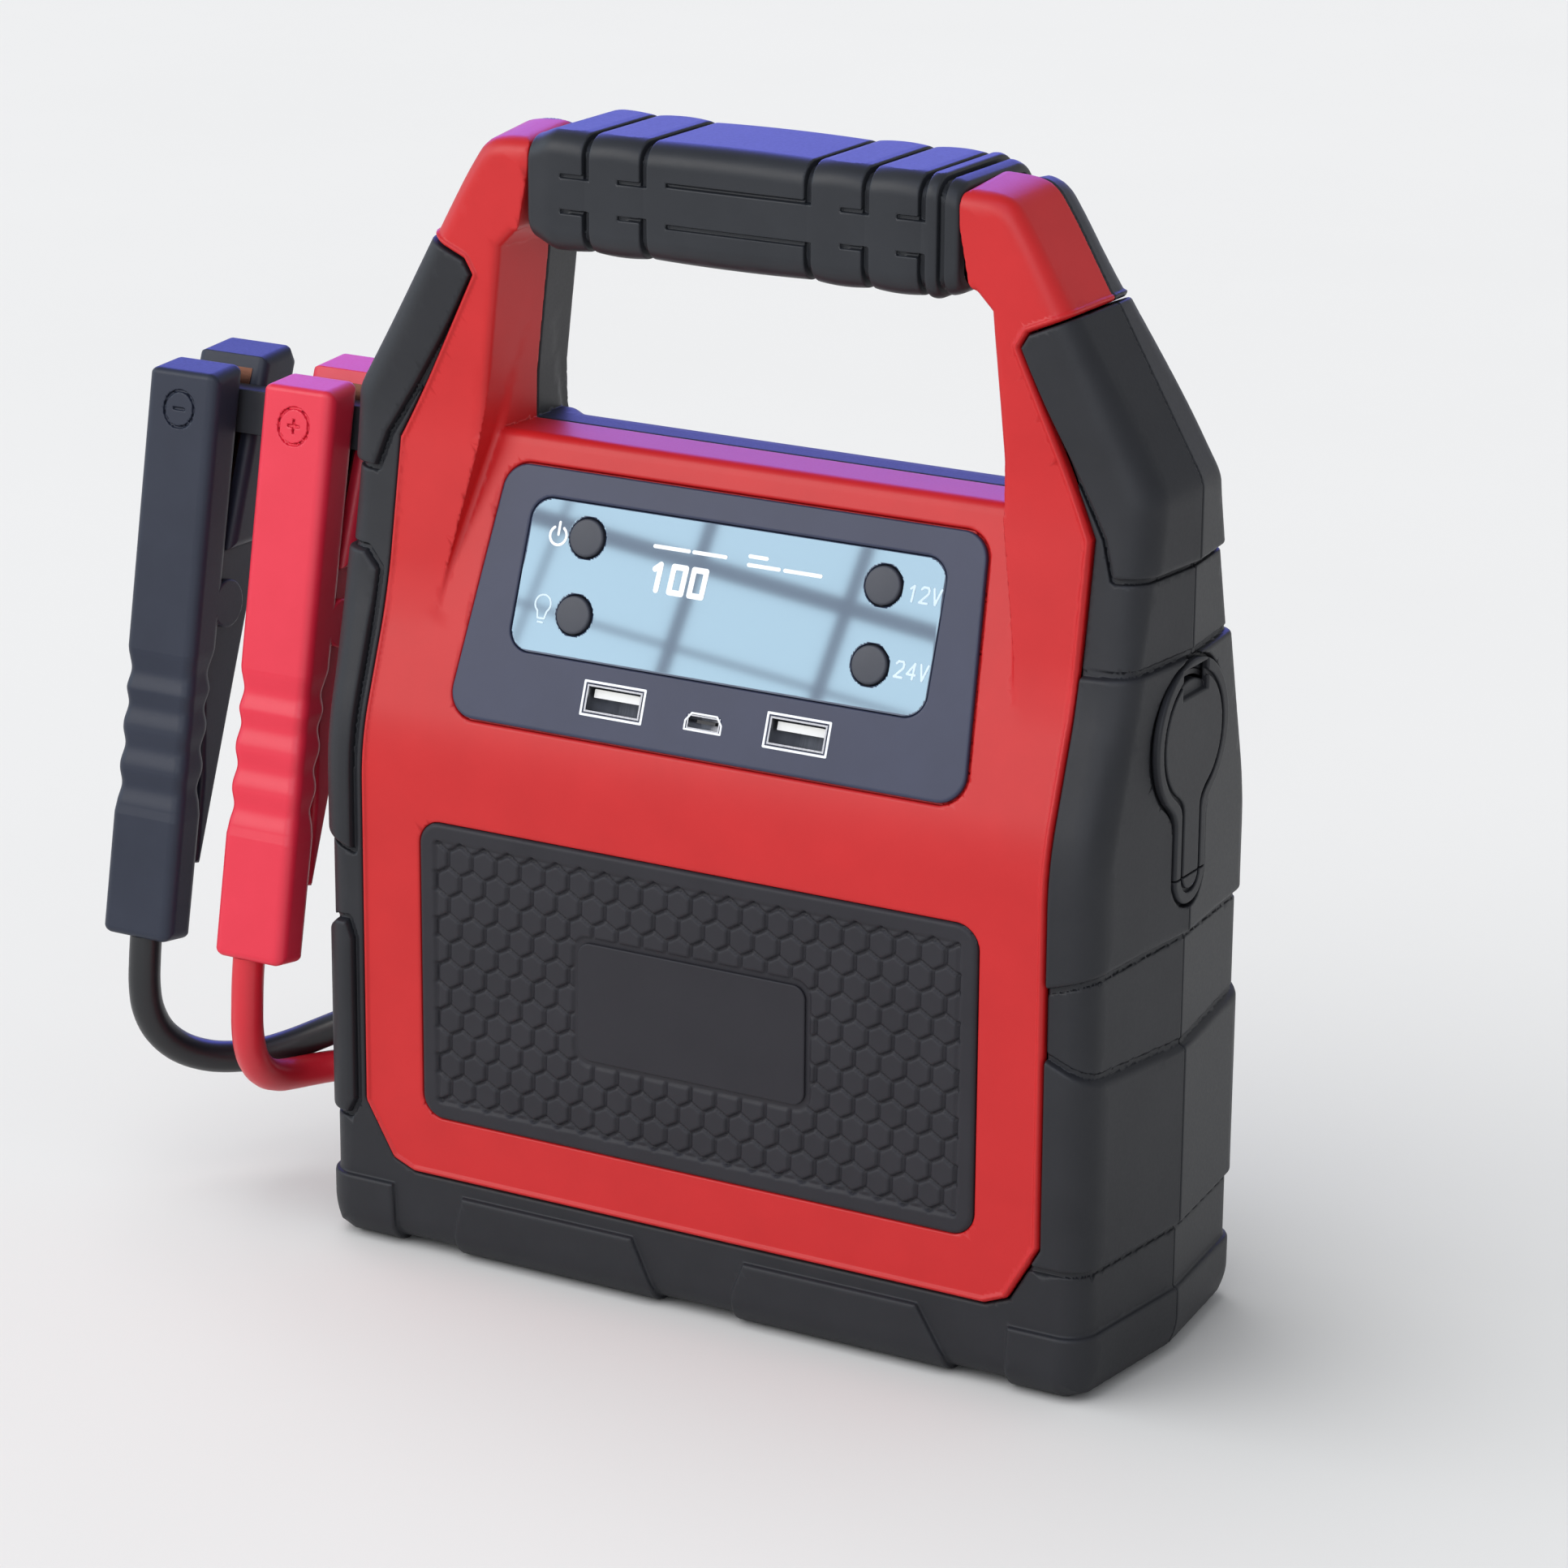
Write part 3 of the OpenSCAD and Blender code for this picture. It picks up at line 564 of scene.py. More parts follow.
# --------------------------------------------------------- the red front ----
def red_outer(x, y, z):
    ax, Y = np.abs(x), np.abs(y)
    d = case(ax, Y, z) + 0.55
    s = skin(x, z)
    lip = mx(0.0, 1.0 - np.abs(s + 1.1) / 0.8)
    d = d - 0.5 * lip * lip * (3 - 2 * lip)
    d = rmax(d, -hole(x, y, z), 1.7)
    # pocket of the honeycomb insert
    g = box2(x, z - 66, 67.4, 33.7, 5.4)
    d = rmax(d, -mx(g, y + 34.6), 0.5)
    u, v, w = panel_uvw(x, y, z)
    b = rounded_poly(u, v, BEZEL, 6) - 0.35
    d = rmax(d, -mx(b, -(w + 1.5)), 0.6)
    d = rmax(d, -neck(ax, z), 0.5)
    return d


def red_front(x, y, z):
    o = red_outer(x, y, z)
    shell = mx(o, -(o + 2.8))
    s = skin(x, z)
    d = rmax(shell, s + 0.25, 0.6)
    u, v, w = panel_uvw(x, y, z)
    # opening behind the display and the ports
    d = mx(d, -mx(rounded_poly(u, v, BEZEL, 6) + 2.2, -(w + 9)))
    return rmax(d, y + 0.12, 0.4)


def screw_cuts(x, y, z):
    d = None
    for px, pz in ((76, 26), (76, 108), (66, 205), (60, 234.5)):
        c = np.sqrt((np.abs(x) - px) ** 2 + (z - pz) ** 2) - 3.2
        d = c if d is None else mn(d, c)
    return d


def black_outer(x, y, z):
    ax = np.abs(x)
    d = case(ax, np.abs(y), z, True) + 0.55
    s = skin(x, z)
    lip = mx(0.0, 1.0 - np.abs(s + 1.1) / 0.8)
    d = d - 0.5 * lip * lip * (3 - 2 * lip)
    # the ledge's rear edge is well rounded
    d = rmax(d, -hole(x, y, z), 1.8 + 4.5 * step(188.0, 182.0, z) * step(58.5, 53.0, ax))
    d = rmax(d, -neck(ax, z), 0.5)
    c = screw_cuts(x, y, z)
    d = rmax(d, -mx(c, (d + 6.0) * -1.0), 0.5)
    return d


def black_back(x, y, z):
    o = black_outer(x, y, z)
    shell = mx(o, -(o + 2.8))
    s = skin(x, z)
    d = rmax(shell, s + 0.25, 0.6)
    return rmax(d, 0.12 - y, 0.4)


solid("front_shell_moulding", red_front, (-98, -37, 14), (98, 0, 247), 0.5, "case_red", "case", ("front_shell",), adapt=0.02)
solid("rear_shell_moulding", black_back, (-98, 0, 14), (98, 37, 247), 0.55, "case_black", "case", ("rear_shell",), adapt=0.02)

# ------------------------------------------------------------ the bumpers ----
PAD_TOP = [(62.6, 216.2), (76.0, 224.6), (120, 224.6), (120, 172.4), (87.6, 171.2), (85.2, 178.6)]
PAD_MID = [(84.9, 149.6), (88.4, 153.2), (120, 153.4), (120, 93.4), (95.2, 93.2), (85.0, 90.0)]
PAD_LOW = [(85.2, 69.4), (86.6, 73.4), (89.6, 73.2), (96.2, 68.4), (120, 67.8), (120, 29.0), (87.0, 29.0), (85.2, 32.4)]
# on the right the pads run to the front edge without a groove
PAD_MID_R = [(76, 151.0), (90, 151.8), (120, 153.4), (120, 93.4), (95.2, 93.2), (85.0, 90.0), (76, 87.2)]
PAD_LOW_R = [(76, 77.0), (87.0, 72.6), (96.2, 68.4), (120, 67.8), (120, 29.0), (76, 29.0)]
FOOT_L = [(-57.6, 14.9), (-14.6, 14.9), (-9.4, 3.9), (-8.4, -6), (-60, -6), (-59.4, 8)]
FOOT_R = [(12.9, 14.9), (54.3, 14.9), (60.7, 4.6), (62.4, -6), (9.6, -6), (10.2, 8)]
CORNER = [(75.6, 14.6), (120, 14.6), (120, -6), (74.6, -6)]


def pads(x, z):
    ax = np.abs(x)
    d = poly(ax, z, PAD_TOP)
    left = mn(poly(ax, z, PAD_MID), poly(ax, z, PAD_LOW))
    right_ = mn(poly(ax, z, PAD_MID_R), poly(ax, z, PAD_LOW_R))
    return mn(d, np.where(x > 0, right_, left))


def feet(x, z):
    d = poly(np.abs(x), z, CORNER)
    return mn(mn(d, poly(x, z, FOOT_L)), poly(x, z, FOOT_R))


def bumper(x, Y, z, rear=False):
    """Half of the rubber skin; Y is the distance from the seam."""
    ax = np.abs(x)
    c = case(ax, Y, z, rear)
    s = skin(x, z)
    base = c + 1.15
    p = rmax(c, pads(x, z), 1.0)
    ft = rmax(c, feet(x, z), 0.8)
    d = rmin(base, mn(p, ft), 0.5)
    # fine groove along the inner edge of each side pad
    ring = np.abs(pads(x, z) - 0.6) - 0.55
    d = rmax(d, -mx(ring, -(c + np.where((x > 0) & (z < 160), 1.55, 2.1))), 0.4)
    d = rmax(d, -(s - 0.2), 0.7)
    d = mx(d, -(c + 4.6))
    # notches between the feet
    for a, b in ((-71.5, -60.8), (-6.8, 8.0), (63.4, 73.0)):
        notch = mx(np.abs(x - (a + b) / 2) - (b - a) / 2, z - 1.5)
        d = rmax(d, -notch, 0.5)
    return d


def socket_shape(y, z, grow=0.0):
    disc = np.sqrt(y * y + (z - 135) ** 2) - 16.3
    tail = box2(y, z - 119, 6.8, 19.5, 6.6)
    return smin(disc, tail, 3.5) - grow


def side_cuts(d, x, y, z):
    seat = mx(socket_shape(y, z, 0.7), 94.6 - x)
    d = rmax(d, -seat, 0.3)
    d = mx(d, -mx(np.sqrt(y * y + (z - 135) ** 2) - 13.7, 50 - x))
    for gz in (38, 26):
        d = rmax(d, -mx(np.sqrt(y * y + (z - gz) ** 2) - 5.9, x + 96.0), 0.4)
        d = mx(d, -mx(np.sqrt(y * y + (z - gz) ** 2) - 4.7, x + 86.0))
    pocket = mx(mx(np.abs(y) - 8.95, np.abs(z - 173) - 11.95), x + 94.0)
    return rmax(d, -pocket, 0.4)


def bumper_front(x, y, z):
    d = bumper(x, np.abs(y), z)
    d = side_cuts(d, x, y, z)
    return rmax(d, y + 0.1, 0.4)


def bumper_rear(x, y, z):
    d = bumper(x, np.abs(y), z, True)
    d = side_cuts(d, x, y, z)
    d = rmax(d, -mx(screw_cuts(x, y, z), 12 - y), 0.4)
    return rmax(d, 0.1 - y, 0.4)


solid("front_bumper_skin", bumper_front, (-98, -37, -0.5), (98, 0, 238), 0.45, "bumper", "case", ("front_bumper",), adapt=0.02)
solid("rear_bumper_skin", bumper_rear, (-98, 0, -0.5), (98, 37, 238), 0.5, "bumper", "case", ("rear_bumper",), adapt=0.02)

# --------------------------------------------------------------- the grip ----
GRIP_CUTS = [(-35.9, 3.3, 6.0), (-22.1, 3.3, 6.0), (16.4, 3.9, 33.0), (29.6, 3.3, 5.5), (42.4, 3.3, 5.5)]


def grip(x, y, z):
    """Rubber sleeve: swollen between its cuts, thinner at the two ends."""
    edges = [-50.5, -35.9, -22.1, 16.4, 29.6, 42.4, 46.6, 50.5]
    swell = np.zeros(np.shape(x), np.float32)
    for a, b in zip(edges[:-1], edges[1:]):
        t = np.clip((x - a) / (b - a), 0, 1)
        inside = (x >= a) & (x < b)
        k = 0.55 if b - a < 20 else 0.35
        swell = np.where(inside, k * np.clip(np.sin(math.pi * t), 0, 1) ** 0.7, swell)
    end = step(44.0, 50.5, np.abs(x))
    swell = swell - 1.5 * end
    top, low = 246.6 + swell, 222.0 - swell
    zc, hz = (top + low) / 2, (top - low) / 2
    hy = np.where(y < 0, 18.6, 15.9) + 0.4 * swell
    r = np.where(y < 0, 5.2, 7.5)
    qy, qz = np.abs(y) - (hy - r), np.abs(z - zc) - (hz - r)
    d2 = np.sqrt(mx(qy, 0) ** 2 + mx(qz, 0) ** 2) + mn(mx(qy, qz), 0) - r
    d = d2
    t = z - 234.3
    for c, gap, bar in GRIP_CUTS:
        cut = mx(mx(np.abs(x - c) - 0.8, gap - np.abs(t)), -(d2 + 1.6))
        d = rmax(d, -cut, 0.35)
        line = mx(mx(np.abs(x - (c - bar / 2)) - bar / 2, np.abs(np.abs(t) - gap - 0.4) - 0.42), -(d2 + 0.8))
        d = rmax(d, -line, 0.25)
    d = rmax(d, -mx(np.abs(x - 46.6) - 0.75, -(d2 + 1.5)), 0.35)
    return d


def grip_body(x, y, z):
    d = rmax(grip(x, y, z), np.abs(x) - 50.45, 0.9)
    return mx(mx(d, z - 246.95), -box2(y + 1.5, z - 234.2, 13.6, 9.4, 3.0))


solid("grip_sleeve_rubber", grip_body, (-50.6, -19.2, 221), (50.6, 16.6, 247.4), 0.4, "grip", "case", ("grip_sleeve",))


# --------------------------------------------- honeycomb insert and badge ----
def hex_height(x, z, pitch=6.0):
    """0 in the grooves, 1 on the cells."""
    r3 = math.sqrt(3.0)
    a, b = x / pitch, z / (pitch * r3)

    def cell(ox, oz):
        cx = (np.round(a - ox) + ox) * pitch
        cz = (np.round(b - oz) + oz) * pitch * r3
        return x - cx, z - cz
    dx0, dz0 = cell(0.0, 0.0)
    dx1, dz1 = cell(0.5, 0.5)
    near = dx0 ** 2 + dz0 ** 2 < dx1 ** 2 + dz1 ** 2
    dx, dz = np.where(near, dx0, dx1), np.where(near, dz0, dz1)
    e = mx(np.abs(dx), np.abs(dx) * 0.5 + np.abs(dz) * r3 / 2)
    return pitch / 2 - e, dx, dz


def grille():
    h = 0.36
    nx, nz = int(134.4 / h), int(67.2 / h)
    xs = np.linspace(-67.2, 67.2, nx)
    zs = np.linspace(32.4, 99.6, nz)
    X, Z = np.meshgrid(xs, zs, indexing="ij")
    edge = box2(X, Z - 66, 67.2, 33.6, 5.2)
    # pull the sample points outside the rounded outline back to it
    over = mx(edge + 0.0, 0)
    gx = np.sign(X) * mx(np.abs(X) - 62.0, 0)
    gz = np.sign(Z - 66) * mx(np.abs(Z - 66) - 28.4, 0)
    gl = mx(np.hypot(gx, gz), 1e-6)
    corner = (np.abs(X) > 62.0) & (np.abs(Z - 66) > 28.4)
    X = np.where(corner, X - over * gx / gl, X)
    Z = np.where(corner, Z - over * gz / gl, Z)
    edge = box2(X, Z - 66, 67.2, 33.6, 5.2)
    e, dx, dz = hex_height(X, Z - 66)
    groove = np.clip(1 - e / 0.55, 0, 1)
    tilt = 0.035 * (dx - dz)
    cells = 0.62 - 1.0 * groove ** 1.1 + tilt * (1 - groove)
    rim = np.clip((edge + 3.9) / 0.5, 0, 1)
    rim = rim * rim * (3 - 2 * rim)
    line = np.exp(-((edge + 4.2) / 0.3) ** 2)
    y = cells * (1 - rim) + 0.8 * rim - 0.35 * line
    badge = box2(X, Z - 66.3, 28.6, 14.3, 3.6)
    k = np.clip(badge / 0.5, 0, 1)
    y = y * k + (1 - k) * 0.1
    fall = np.clip((edge + 0.9) / 0.9, 0, 1)
    y = y - 0.7 * fall ** 2
    Yc = -35.55 - y
    v = np.stack([X.ravel(), Yc.ravel(), Z.ravel()], 1)
    vb = v.copy()
    vb[:, 1] = -34.72
    idx = np.arange(nx * nz).reshape(nx, nz)
    a, b, c, d = idx[:-1, :-1], idx[1:, :-1], idx[1:, 1:], idx[:-1, 1:]
    front = np.stack([a, b, c, d], -1).reshape(-1, 4)
    n0 = nx * nz
    ring = np.concatenate([idx[:, 0], idx[-1, 1:], idx[-2::-1, -1], idx[0, -2:0:-1]])
    nxt = np.roll(ring, -1)
    side = np.stack([nxt, ring, ring + n0, nxt + n0], -1)
    rearq = front[:, ::-1] + n0
    q = np.vstack([front, side, rearq])
    # the back is flat: a full copy of the front grid moved onto one plane
    return mesh_object("honeycomb_insert", np.vstack([v, vb]), q)


o = grille()
finish_piece(o, "grille", "case", ("front_grille",))


def badge(x, y, z):
    d2 = box2(x, z - 66.3, 27.5, 13.2, 3.0)
    return rmax(d2, mx(-36.35 - y, y + 35.5), 0.35)


solid("badge_plate_bare", badge, (-28, -36.6, 53), (28, -35.3, 80), 0.3, "badge", "case", ("badge_plate",))


# -------------------------------------------------------------- the panel ----
def bezel(x, y, z):
    d2 = rounded_poly(x, y, BEZEL, 6)
    d = rmax(d2, mx(z - 0.12, -1.3 - z), 0.5)
    win = rounded_poly(x, y, WINDOW, 5)
    d = rmax(d, -win, 0.35)
    for ux, uy in USB:
        d = rmax(d, -box2(x - ux, y - uy, 6.75, 2.95, 0.5), 0.15)
    d = rmax(d, -box2(x, y - 6.1, 3.95, 1.6, 0.6), 0.12)
    return d


solid("display_bezel_plate", bezel, (-62.4, -2, -1.6), (62.4, 54.2, 0.3), 0.34, "bezel", "case", ("display_bezel",), PANEL)


def lens(x, y, z):
    d2 = rounded_poly(x, y, WINDOW, 5) + 0.12
    d = rmax(d2, mx(z + 0.12, -1.3 - z), 0.2)
    for kx_, ky_ in KEYS.values():
        d = rmax(d, -(np.sqrt((x - kx_) ** 2 + (y - ky_) ** 2) - 4.32), 0.15)
    return d


solid("display_window_cover", lens, (-50, 14, -1.6), (50, 48, 0.1), 0.34, "window", "case", ("display_lens",), PANEL)


def key(x, y, z):
    r = np.sqrt(x * x + y * y)
    top = 0.75 - 0.012 * r * r
    d = rmax(r - 4.05, z - top, 0.45)
    stem = mx(d, -3.0 - z)
    flange = rmax(r - 5.0, mx(z + 2.25, -3.4 - z), 0.2)
    return mn(stem, flange)


for node, (kx_, ky_) in KEYS.items():
    solid(node + "_cap", key, (-5.2, -5.2, -3.6), (5.2, 5.2, 0.9), 0.22, "key", node, (node,),
          PANEL @ Matrix.Translation(Vector((kx_, ky_, 0)) * MM))

# generic marks: plain figures and symbols, as thin raised print
SEG = {
    "0": [[(0, 0), (0.6, 0), (0.6, 1), (0, 1), (0, 0)]],
    "1": [[(0.1, 0.8), (0.35, 1), (0.35, 0)]],
    "2": [[(0, 0.85), (0.12, 1), (0.5, 1), (0.6, 0.85), (0.6, 0.62), (0, 0), (0.62, 0)]],
    "4": [[(0.48, 0), (0.48, 1), (0, 0.28), (0.66, 0.28)]],
    "V": [[(0, 1), (0.3, 0), (0.6, 1)]],
}


def text_lines(s, x0, y0, hgt, step=0.86, lean=0.0):
    out = []
    for i, ch in enumerate(s):
        for line in SEG[ch]:
            out.append([(x0 + hgt * (i * step + a * 0.9 + lean * b), y0 + hgt * b) for a, b in line])
    return out


def arc(cx, cy, r, a0, a1, n=14):
    return [(cx + r * math.cos(math.radians(a0 + (a1 - a0) * i / n)), cy + r * math.sin(math.radians(a0 + (a1 - a0) * i / n)))
            for i in range(n + 1)]


def printed(name, lines, width, z0, z1, h=0.15, mat="print"):
    """Thin print: strokes built eight times too thick, then flattened."""
    K = 8.0
    pts = [p for l in lines for p in l]
    lo = (min(p[0] for p in pts) - width - h, min(p[1] for p in pts) - width - h, z0 * K - h)
    hi = (max(p[0] for p in pts) + width + h, max(p[1] for p in pts) + width + h, z1 * K + h)

    def f(x, y, z):
        return rmax(strokes(x, y, lines) - width, mx(z - z1 * K, z0 * K - z), 0.12)
    v, q, n = surface(f, lo, hi, h, 2)
    v = v / np.array([1.0, 1.0, K])
    n = n * np.array([1.0, 1.0, K])
    n /= np.linalg.norm(n, axis=1)[:, None]
    o = mesh_object(name, v, q, n, PANEL)
    return finish_piece(o, mat, "case")


zt = -0.12
printed("mark_power", [arc(-42.1, 39.6, 2.0, 125, 415, 18), [(-42.1, 42.4), (-42.1, 39.8)]], 0.3, zt - 0.12, zt + 0.06)
printed("mark_bulb", [arc(-42.9, 25.0, 1.9, -50, 230, 16) , [(-44.0, 23.5), (-43.7, 21.9), (-42.1, 21.9), (-41.7, 23.5)],
                      [(-43.5, 21.1), (-42.3, 21.1)]], 0.2, zt - 0.12, zt + 0.06, mat="print_soft")
printed("mark_12", text_lines("12V", 41.4, 37.7, 3.2, 0.86, 0.08), 0.24, zt - 0.12, zt + 0.06, mat="print_soft")
printed("mark_24", text_lines("24V", 41.4, 22.2, 3.2, 0.86, 0.08), 0.24, zt - 0.12, zt + 0.06, mat="print_soft")
printed("mark_100", text_lines("100", -18.4, 31.6, 5.4, 0.9, 0.06), 0.62, zt - 0.12, zt + 0.06)
printed("mark_bars", [[(-18.6, 40.6), (-10.4, 40.6)], [(-9.2, 40.6), (-1.6, 40.6)], [(4.0, 41.6), (8.0, 41.6)],
                      [(4.0, 39.8), (11.2, 39.8)], [(12.6, 39.8), (21.0, 39.8)]], 0.42, zt - 0.12, zt + 0.06)
# white raised outlines round the port openings: painted highlight standing in for the bright metal rims of the sockets
for i, (ux, uy) in enumerate(USB):
    printed("port_frame_%d" % i, [[(ux - 7.3, uy - 3.5), (ux + 7.3, uy - 3.5), (ux + 7.3, uy + 3.5), (ux - 7.3, uy + 3.5), (ux - 7.3, uy - 3.5)]],
            0.26, 0.0, 0.19)
printed("port_frame_2", [[(-4.3, 4.4), (4.3, 4.4), (4.3, 6.2), (3.0, 7.9), (-3.0, 7.9), (-4.3, 6.2), (-4.3, 4.4)]], 0.2, 0.0, 0.19)


# ------------------------------------------------------ accessory socket ----
def cover_face(x, y, z):
    s = socket_shape(y, z)
    d = rmax(s, mx(x - 96.75, 94.95 - x), 0.6)
    # stepped edge
    groove = mx(np.abs(s + 2.9) - 0.45, 95.9 - x)
    d = rmax(d, -groove, 0.25)
    # thumb notch
    notch = np.sqrt((x - 97.4) ** 2 + ((z - 146.8) / 0.9) ** 2) - 3.4
    d = rmax(d, -mx(notch, np.abs(y) - 5.6), 0.5)
    plug = rmax(np.sqrt(y * y + (z - 135) ** 2) - 11.8, mx(x - 95.5, 91.8 - x), 0.5)
    return mn(d, plug)


def cover(x, y, z):
    return mx(cover_face(x, y, z), 106.0 - z)


def anchor(x, y, z):
    s = socket_shape(y, z)
    d = rmax(s, mx(x - 96.75, 94.75 - x), 0.6)
    groove = mx(np.abs(s + 2.9) - 0.45, 95.9 - x)
    d = rmax(d, -groove, 0.25)
    return mx(d, z - 105.7)


solid("socket_cover_flap", cover, (91, -16.8, 105.9), (97.5, 16.8, 151.8), 0.32, "bumper", "socket_cover", ("socket_cover",))
solid("socket_cover_anchor", anchor, (94.5, -7.3, 99), (97.4, 7.3, 105.8), 0.32, "bumper", "case", ("cover_anchor",))


# ---------------------------------------------------------------- clamps ----
FRONT_ARM = [(-36, 59), (-26.6, 57.6), (-0.8, 183.6), (-12, 183)]
REAR_ARM = [(-8.2, 142.5), (6.8, 183.3), (17.3, 184), (19.1, 180.3), (4.6, 142.5)]
REAR_HANDLE = [(-21.0, 73.5), (-19.2, 72.6), (1.6, 128), (4.9, 143), (-8.3, 143), (-14.3, 131), (-16.1, 118), (-17.6, 92)]
CHANNEL = [(-31.6, 67), (-14, 67), (2, 142), (-14.9, 142), (-17.6, 138)]
PIVOT = (-9.5, 131.0)
RIBS = (116.8, 109.2, 100.3, 91.5)


def ribs(z):
    g = 0
    for c in RIBS:
        t = np.clip(1 - np.abs(z - c) / 4.2, 0, 1)
        g = g + t * t * (3 - 2 * t)
    zone = np.clip((z - 85.5) / 2.0, 0, 1) * np.clip((122.0 - z) / 2.0, 0, 1)
    return 0.35 * zone + 0.85 * g


def clamp_front(sign):
    def f(x, y, z):
        d2 = rounded_poly(y, z, FRONT_ARM, 1.6)
        rib = ribs(z)
        d = rmax(d2 + rib * 0.8, np.abs(x) - 9.25 + rib * 0.55, 2.6)
        ear = rmax(np.sqrt((y - PIVOT[0]) ** 2 + (z - PIVOT[1]) ** 2) - 5.4, mx(np.abs(x) - 9.25, 7.15 - np.abs(x)), 0.4)
        d = mn(d, ear)
        ch = mx(poly(y, z, CHANNEL), np.abs(x) - 7.15)
        d = rmax(d, -ch, 0.5)
        # ring mark with its sign, on the front face
        front = -12 - (183 - z) * 24.0 / 124.0
        depth = y - front
        ring = np.abs(np.sqrt(x * x + (z - 174.8) ** 2) - 3.9) - 0.28
        bar = mx(np.abs(x) - 1.5, np.abs(z - 174.8) - 0.28)
        if sign > 0:
            bar = mn(bar, mx(np.abs(z - 174.8) - 1.5, np.abs(x) - 0.28))
        d = rmax(d, -mx(mn(ring, bar), depth - 0.55), 0.12)
        return d
    return f


def clamp_rear(x, y, z):
    d = rmax(poly(y, z, REAR_ARM), np.abs(x) - 9.25, 2.2)
    hd_ = rmax(poly(y, z, REAR_HANDLE), np.abs(x) - 6.75, 1.2)
    d = mn(d, hd_)
    r = np.sqrt((y - PIVOT[0]) ** 2 + (z - PIVOT[1]) ** 2)
    d = mx(d, -(r - 1.6))
    return mx(d, -mx(r - 6.6, np.abs(x) - 3.2))


for c, cx, sign, lead_x in (("black", -144.05, -1, 0.05), ("red", -113.6, 1, -2.4)):
    at = Matrix.Translation((cx * MM, 0, 0))
    solid(c + "_clamp_front_cover", clamp_front(sign), (-9.4, -36.5, 57), (9.4, 3, 184), 0.42, "clamp_" + c, "case",
          (c + "_clamp_front_arm",), at)
    solid(c + "_clamp_rear_cover", clamp_rear, (-9.4, -21.5, 72), (9.4, 19.5, 184.5), 0.45, "clamp_" + c, c + "_rear_arm",
          (c + "_clamp_rear_arm",), at)


# ------------------------------------------------------ rail and glands ----
def rail(x, y, z):
    bar = rmax(poly(y, z, [(-2.9, 168.4), (0.5, 168.4), (3.9, 177.8), (-1.0, 177.8)]), np.abs(x + 125.5) - 27.8, 0.5)
    foot = rmax(mx(np.abs(y) - 8.7, np.abs(z - 173) - 11.7), mx(x + 94.2, -98.0 - x), 0.6)
    return mn(bar, foot)


solid("clamp_rail_bar", rail, (-153.5, -8.9, 161), (-94, 8.9, 185), 0.45, "rail", "case", ("clamp_rail",))


def glands(x, y, z):
    d = None
    for gz in (38, 26):
        r = np.sqrt(y * y + (z - gz) ** 2)
        collar = rmax(r - 5.7, mx(x + 96.0, -99.5 - x), 0.8)
        body = mx(r - 4.6, mx(x + 88.0, -96.5 - x))
        g = mn(collar, body)
        g = rmax(g, -mx(np.abs(r - 4.4) - 0.3, x + 99.0), 0.1)
        d = g if d is None else mn(d, g)
    return d


solid("lead_gland_pair", glands, (-99.7, -6, 19.8), (-87.5, 6, 44.2), 0.35, "black_plastic", "case", ("lead_glands",))


# ------------------------------------------------------------- work lamp ----
def lamp(x, y, z):
    d2 = box2(x, z - 72, 56, 30, 9)
    d = rmax(d2, mx(y - 59.5, 36.5 - y), 2.0)
    inner = box2(x, z - 72, 53, 27, 7.5)
    d = rmax(d, -mx(inner, 39.5 - y), 0.5)
    for i in range(5):
        zz = 52 + i * 10
        rib = mx(mx(np.abs(z - zz) - 1.1, 42 - y), 54 - y * 0 - np.abs(x) + 0.0)
        d = rmax(d, -mx(rib, mx(np.abs(y - 47) - 7, 55.2 - np.abs(x))), 0.2)
    return d


solid("lamp_housing_shell", lamp, (-56.4, 36.2, 41.6), (56.4, 59.8, 102.4), 0.6, "case_black", "case", ("lamp_housing",))

# -------------------------------------------------- carried-over CAD nodes ----
CARRIED = {
    "dc_socket_insulator": "white_plastic",
    "lcd_module": "white_plastic", "display_board": "board", "tact_switches": "black_plastic",
    "usb_a_sockets": "steel", "usb_a_tongues": "white_plastic", "micro_usb_socket": "steel",
    "micro_usb_tongue": "black_plastic", "dc_socket_barrel": "black_plastic", "dc_socket_contact": "steel",
    "lamp_reflector": "chrome", "lamp_lens": "glass", "lamp_led_board": "led", "battery_cells": "foil",
    "battery_tray": "black_plastic", "cell_busbars": "copper", "main_board": "board", "output_relays": "relay",
    "case_screws": "screw",
}
for c in ("black", "red"):
    CARRIED[c + "_clamp_front_jaw"] = "copper"
    CARRIED[c + "_clamp_rear_jaw"] = "copper"
    CARRIED[c + "_clamp_pin"] = "steel"
    CARRIED[c + "_clamp_spring"] = "spring"
for node, mat in CARRIED.items():
    ob = frame["nodes"][node]
    ob.data.materials.clear()
    ob.data.materials.append(M[mat])

# ------------------------------------------------------ floor and lights ----
FLOOR_SUN = 2.65
CARD_POWER = 1.65
me = bpy.data.meshes.new("floor")
me.from_pydata([(-8, -8, 0), (8, -8, 0), (8, 8, 0), (-8, 8, 0)], [], [(0, 1, 2, 3)])
floor = bpy.data.objects.new("floor", me)
bpy.context.scene.collection.objects.link(floor)
fm = material("floor_pale", (0.80, 0.80, 0.80, 1), (0.82, 0.82, 0.82, 1), rough=0.9, bump=0.0, mottle=2.0, specular=0.1)
floor.data.materials.append(fm)
floor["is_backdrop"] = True

world = bpy.data.worlds.new("studio")
bpy.context.scene.world = world
world.use_nodes = True
bg = world.node_tree.nodes["Background"]
bg.inputs[0].default_value = (0.95, 0.97, 1.0, 1)
wn, wl = world.node_tree.nodes.new, world.node_tree.links.new
